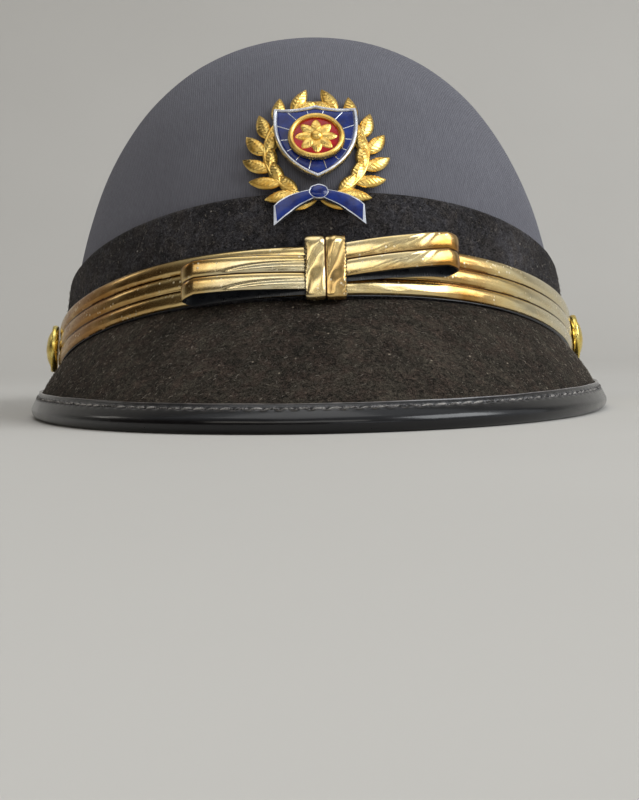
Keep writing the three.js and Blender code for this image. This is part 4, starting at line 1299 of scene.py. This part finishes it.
def make_fibres():
    """Lint and raised nap on the band and on top of the peak."""
    count, over = 3600, 0.04
    angle = random.uniform(-math.pi, math.pi, count)
    up = random.uniform(0.03, 0.97, count) * band_height(angle)
    points = crown_point(angle, rim_height(angle) + up, BAND_OUTSET + over)
    add_lint("band_lint", points, unit(points * [1, 1, 0.1]))
    count, nearest = 5200, FLANGE_LENGTH + 0.6
    stations = PeakStations(peak_angles(4096)[random.randint(0, 4096, count)])
    reach = stations.back_limit(PEAK_BOARD / 2)[:, 0] - 1
    back = nearest + (reach - nearest) * random.uniform(0, 1, count)
    keep = back < reach
    points = stations.point(back[:, None], np.full((count, 1), PEAK_BOARD / 2 + over))[:, 0]
    add_lint("peak_lint", points[keep], stations.normal[keep])


# Stage, light and camera


def add_stage(name, points, faces, material):
    mesh = new_mesh(name, points, faces, [material])
    mesh.shade_smooth()
    stage = add_object(name, mesh)
    return stage


def swept_corner(start, radius, count):
    """A quarter circle from level to upright, as distances and heights."""
    turn = np.radians(np.linspace(0, 90, count))
    return start + radius * np.sin(turn), radius * (1 - np.cos(turn))


def make_stage():
    """A pale floor that sweeps up into a wall behind the cap, in metres."""
    finish = Finish("stage_paper", {"Roughness": 0.75, "Specular IOR Level": 0.2})
    finish.paint(finish.noise(finish.place, 240, 3), (190, 187, 182), (199, 196, 191))
    depth, radius, height, width, front = 0.55, 0.5, 2.6, 3.2, 2.4
    back, rise = swept_corner(depth, radius, 16)
    profile = [(-front, 0), *zip(back, rise), (depth + radius, height)]
    points = [(x, y, z) for y, z in profile for x in (-width, width)]
    faces = [(2 * i, 2 * i + 1, 2 * i + 3, 2 * i + 2) for i in range(len(profile) - 1)]
    add_stage("stage", points, faces, finish.material)
    # A wide bowl outside it is the background of other views; only the camera sees it
    bowl_radius, bowl_sweep, bowl_height, bowl_drop = 3.6, 2.4, 7.0, 0.004
    turns = full_turn(96)
    away, rise = swept_corner(bowl_radius, bowl_sweep, 19)
    away = np.concatenate([[0.4], away, away[-1:]])[:, None]
    rise = np.concatenate([[0], rise, [bowl_height]])[:, None] - bowl_drop
    loops = np.stack([away * np.cos(turns), away * np.sin(turns), rise + 0 * turns], axis=-1)
    points, faces = skin(loops)
    bowl = add_stage("bowl", points.tolist(), faces, finish.material)
    for ray in ("visible_diffuse", "visible_glossy", "visible_transmission", "visible_shadow"):
        setattr(bowl, ray, False)


def add_light(name, place, target, size, energy, colour):
    light = bpy.data.lights.new(name, "AREA")
    light.shape = "RECTANGLE"
    light.size, light.size_y = size
    light.energy = energy
    light.color = colour
    lamp = add_object(name, light)
    lamp.location = place
    lamp.rotation_mode = "QUATERNION"
    lamp.rotation_quaternion = (Vector(target) - Vector(place)).to_track_quat("-Z", "Y")
    lamp.visible_camera = False


def make_world():
    """A soft room: brighter above and to the right, dimmer in front."""
    world = bpy.data.worlds.new("room")
    world.use_nodes = True
    bpy.context.scene.world = world
    room = Nodes(world.node_tree)
    lean = room.dot(room.node("TexCoord", {}, "Generated"), (0.62, 0.38, 0.68))
    colour = room.blend(room.span(lean, -0.3, 0.8), (0.045, 0.032, 0.02, 1), (0.93, 0.97, 1.0, 1))
    background = room.tree.nodes["Background"]
    room.connect(colour, background.inputs["Color"])
    room.connect(0.7, background.inputs["Strength"])


def make_camera():
    """The photograph's view of the cap, from just above the floor."""
    heading, pitch, roll = np.radians([2.0, 2.6, -1.2])
    level = math.cos(pitch)
    forward = Vector((level * math.sin(heading), level * math.cos(heading), -math.sin(pitch)))
    camera = bpy.data.cameras.new("camera")
    camera.sensor_width = 36
    camera.lens = 67.5
    camera.clip_start = 0.01
    viewer = add_object("camera", camera)
    turn = forward.to_track_quat("-Z", "Y").to_matrix().to_4x4() @ Matrix.Rotation(roll, 4, "Z")
    viewer.matrix_world = Matrix.Translation((-0.01728, -0.50477, 0.026)) @ turn
    bpy.context.scene.camera = viewer


make_crown()
make_band()
make_peak()
make_binding()
make_stitches()
make_strap()
for loop in BOW_LOOPS:
    make_loop(**loop)
make_knot()
make_button("button_left", -1)
make_button("button_right", 1)
make_wreath()
make_shield()
make_medallion()
make_tie()
make_fibres()

make_stage()
make_world()
add_light("window", (1.5, -0.7, 1.1), (0, 0, 0.06), (1.3, 1.1), 25, (0.95, 0.98, 1.0))
add_light("ceiling", (-0.2, -0.1, 1.7), (0, 0, 0), (1.2, 1.2), 4.5, (1.0, 0.99, 0.97))
add_light("front card", (-0.13, -1.5, 0.8), (0, 0, 0.05), (1.3, 0.42), 3.6, (1.0, 0.98, 0.93))
add_light("left card", (-1.08, -1.12, 0.8), (0, 0, 0.05), (0.8, 0.38), 1.8, (1.0, 0.95, 0.86))
add_light("left lamp", (-1.28, 0.63, 0.75), (-0.06, -0.05, 0.04), (0.2, 0.36), 0.5, (1.0, 0.97, 0.9))
add_light("low card", (0.45, -1.5, 0.2), (0, 0, 0.03), (0.9, 0.1), 0.7, (0.93, 0.97, 1.0))
make_camera()
bpy.context.scene.view_settings.view_transform = "Standard"
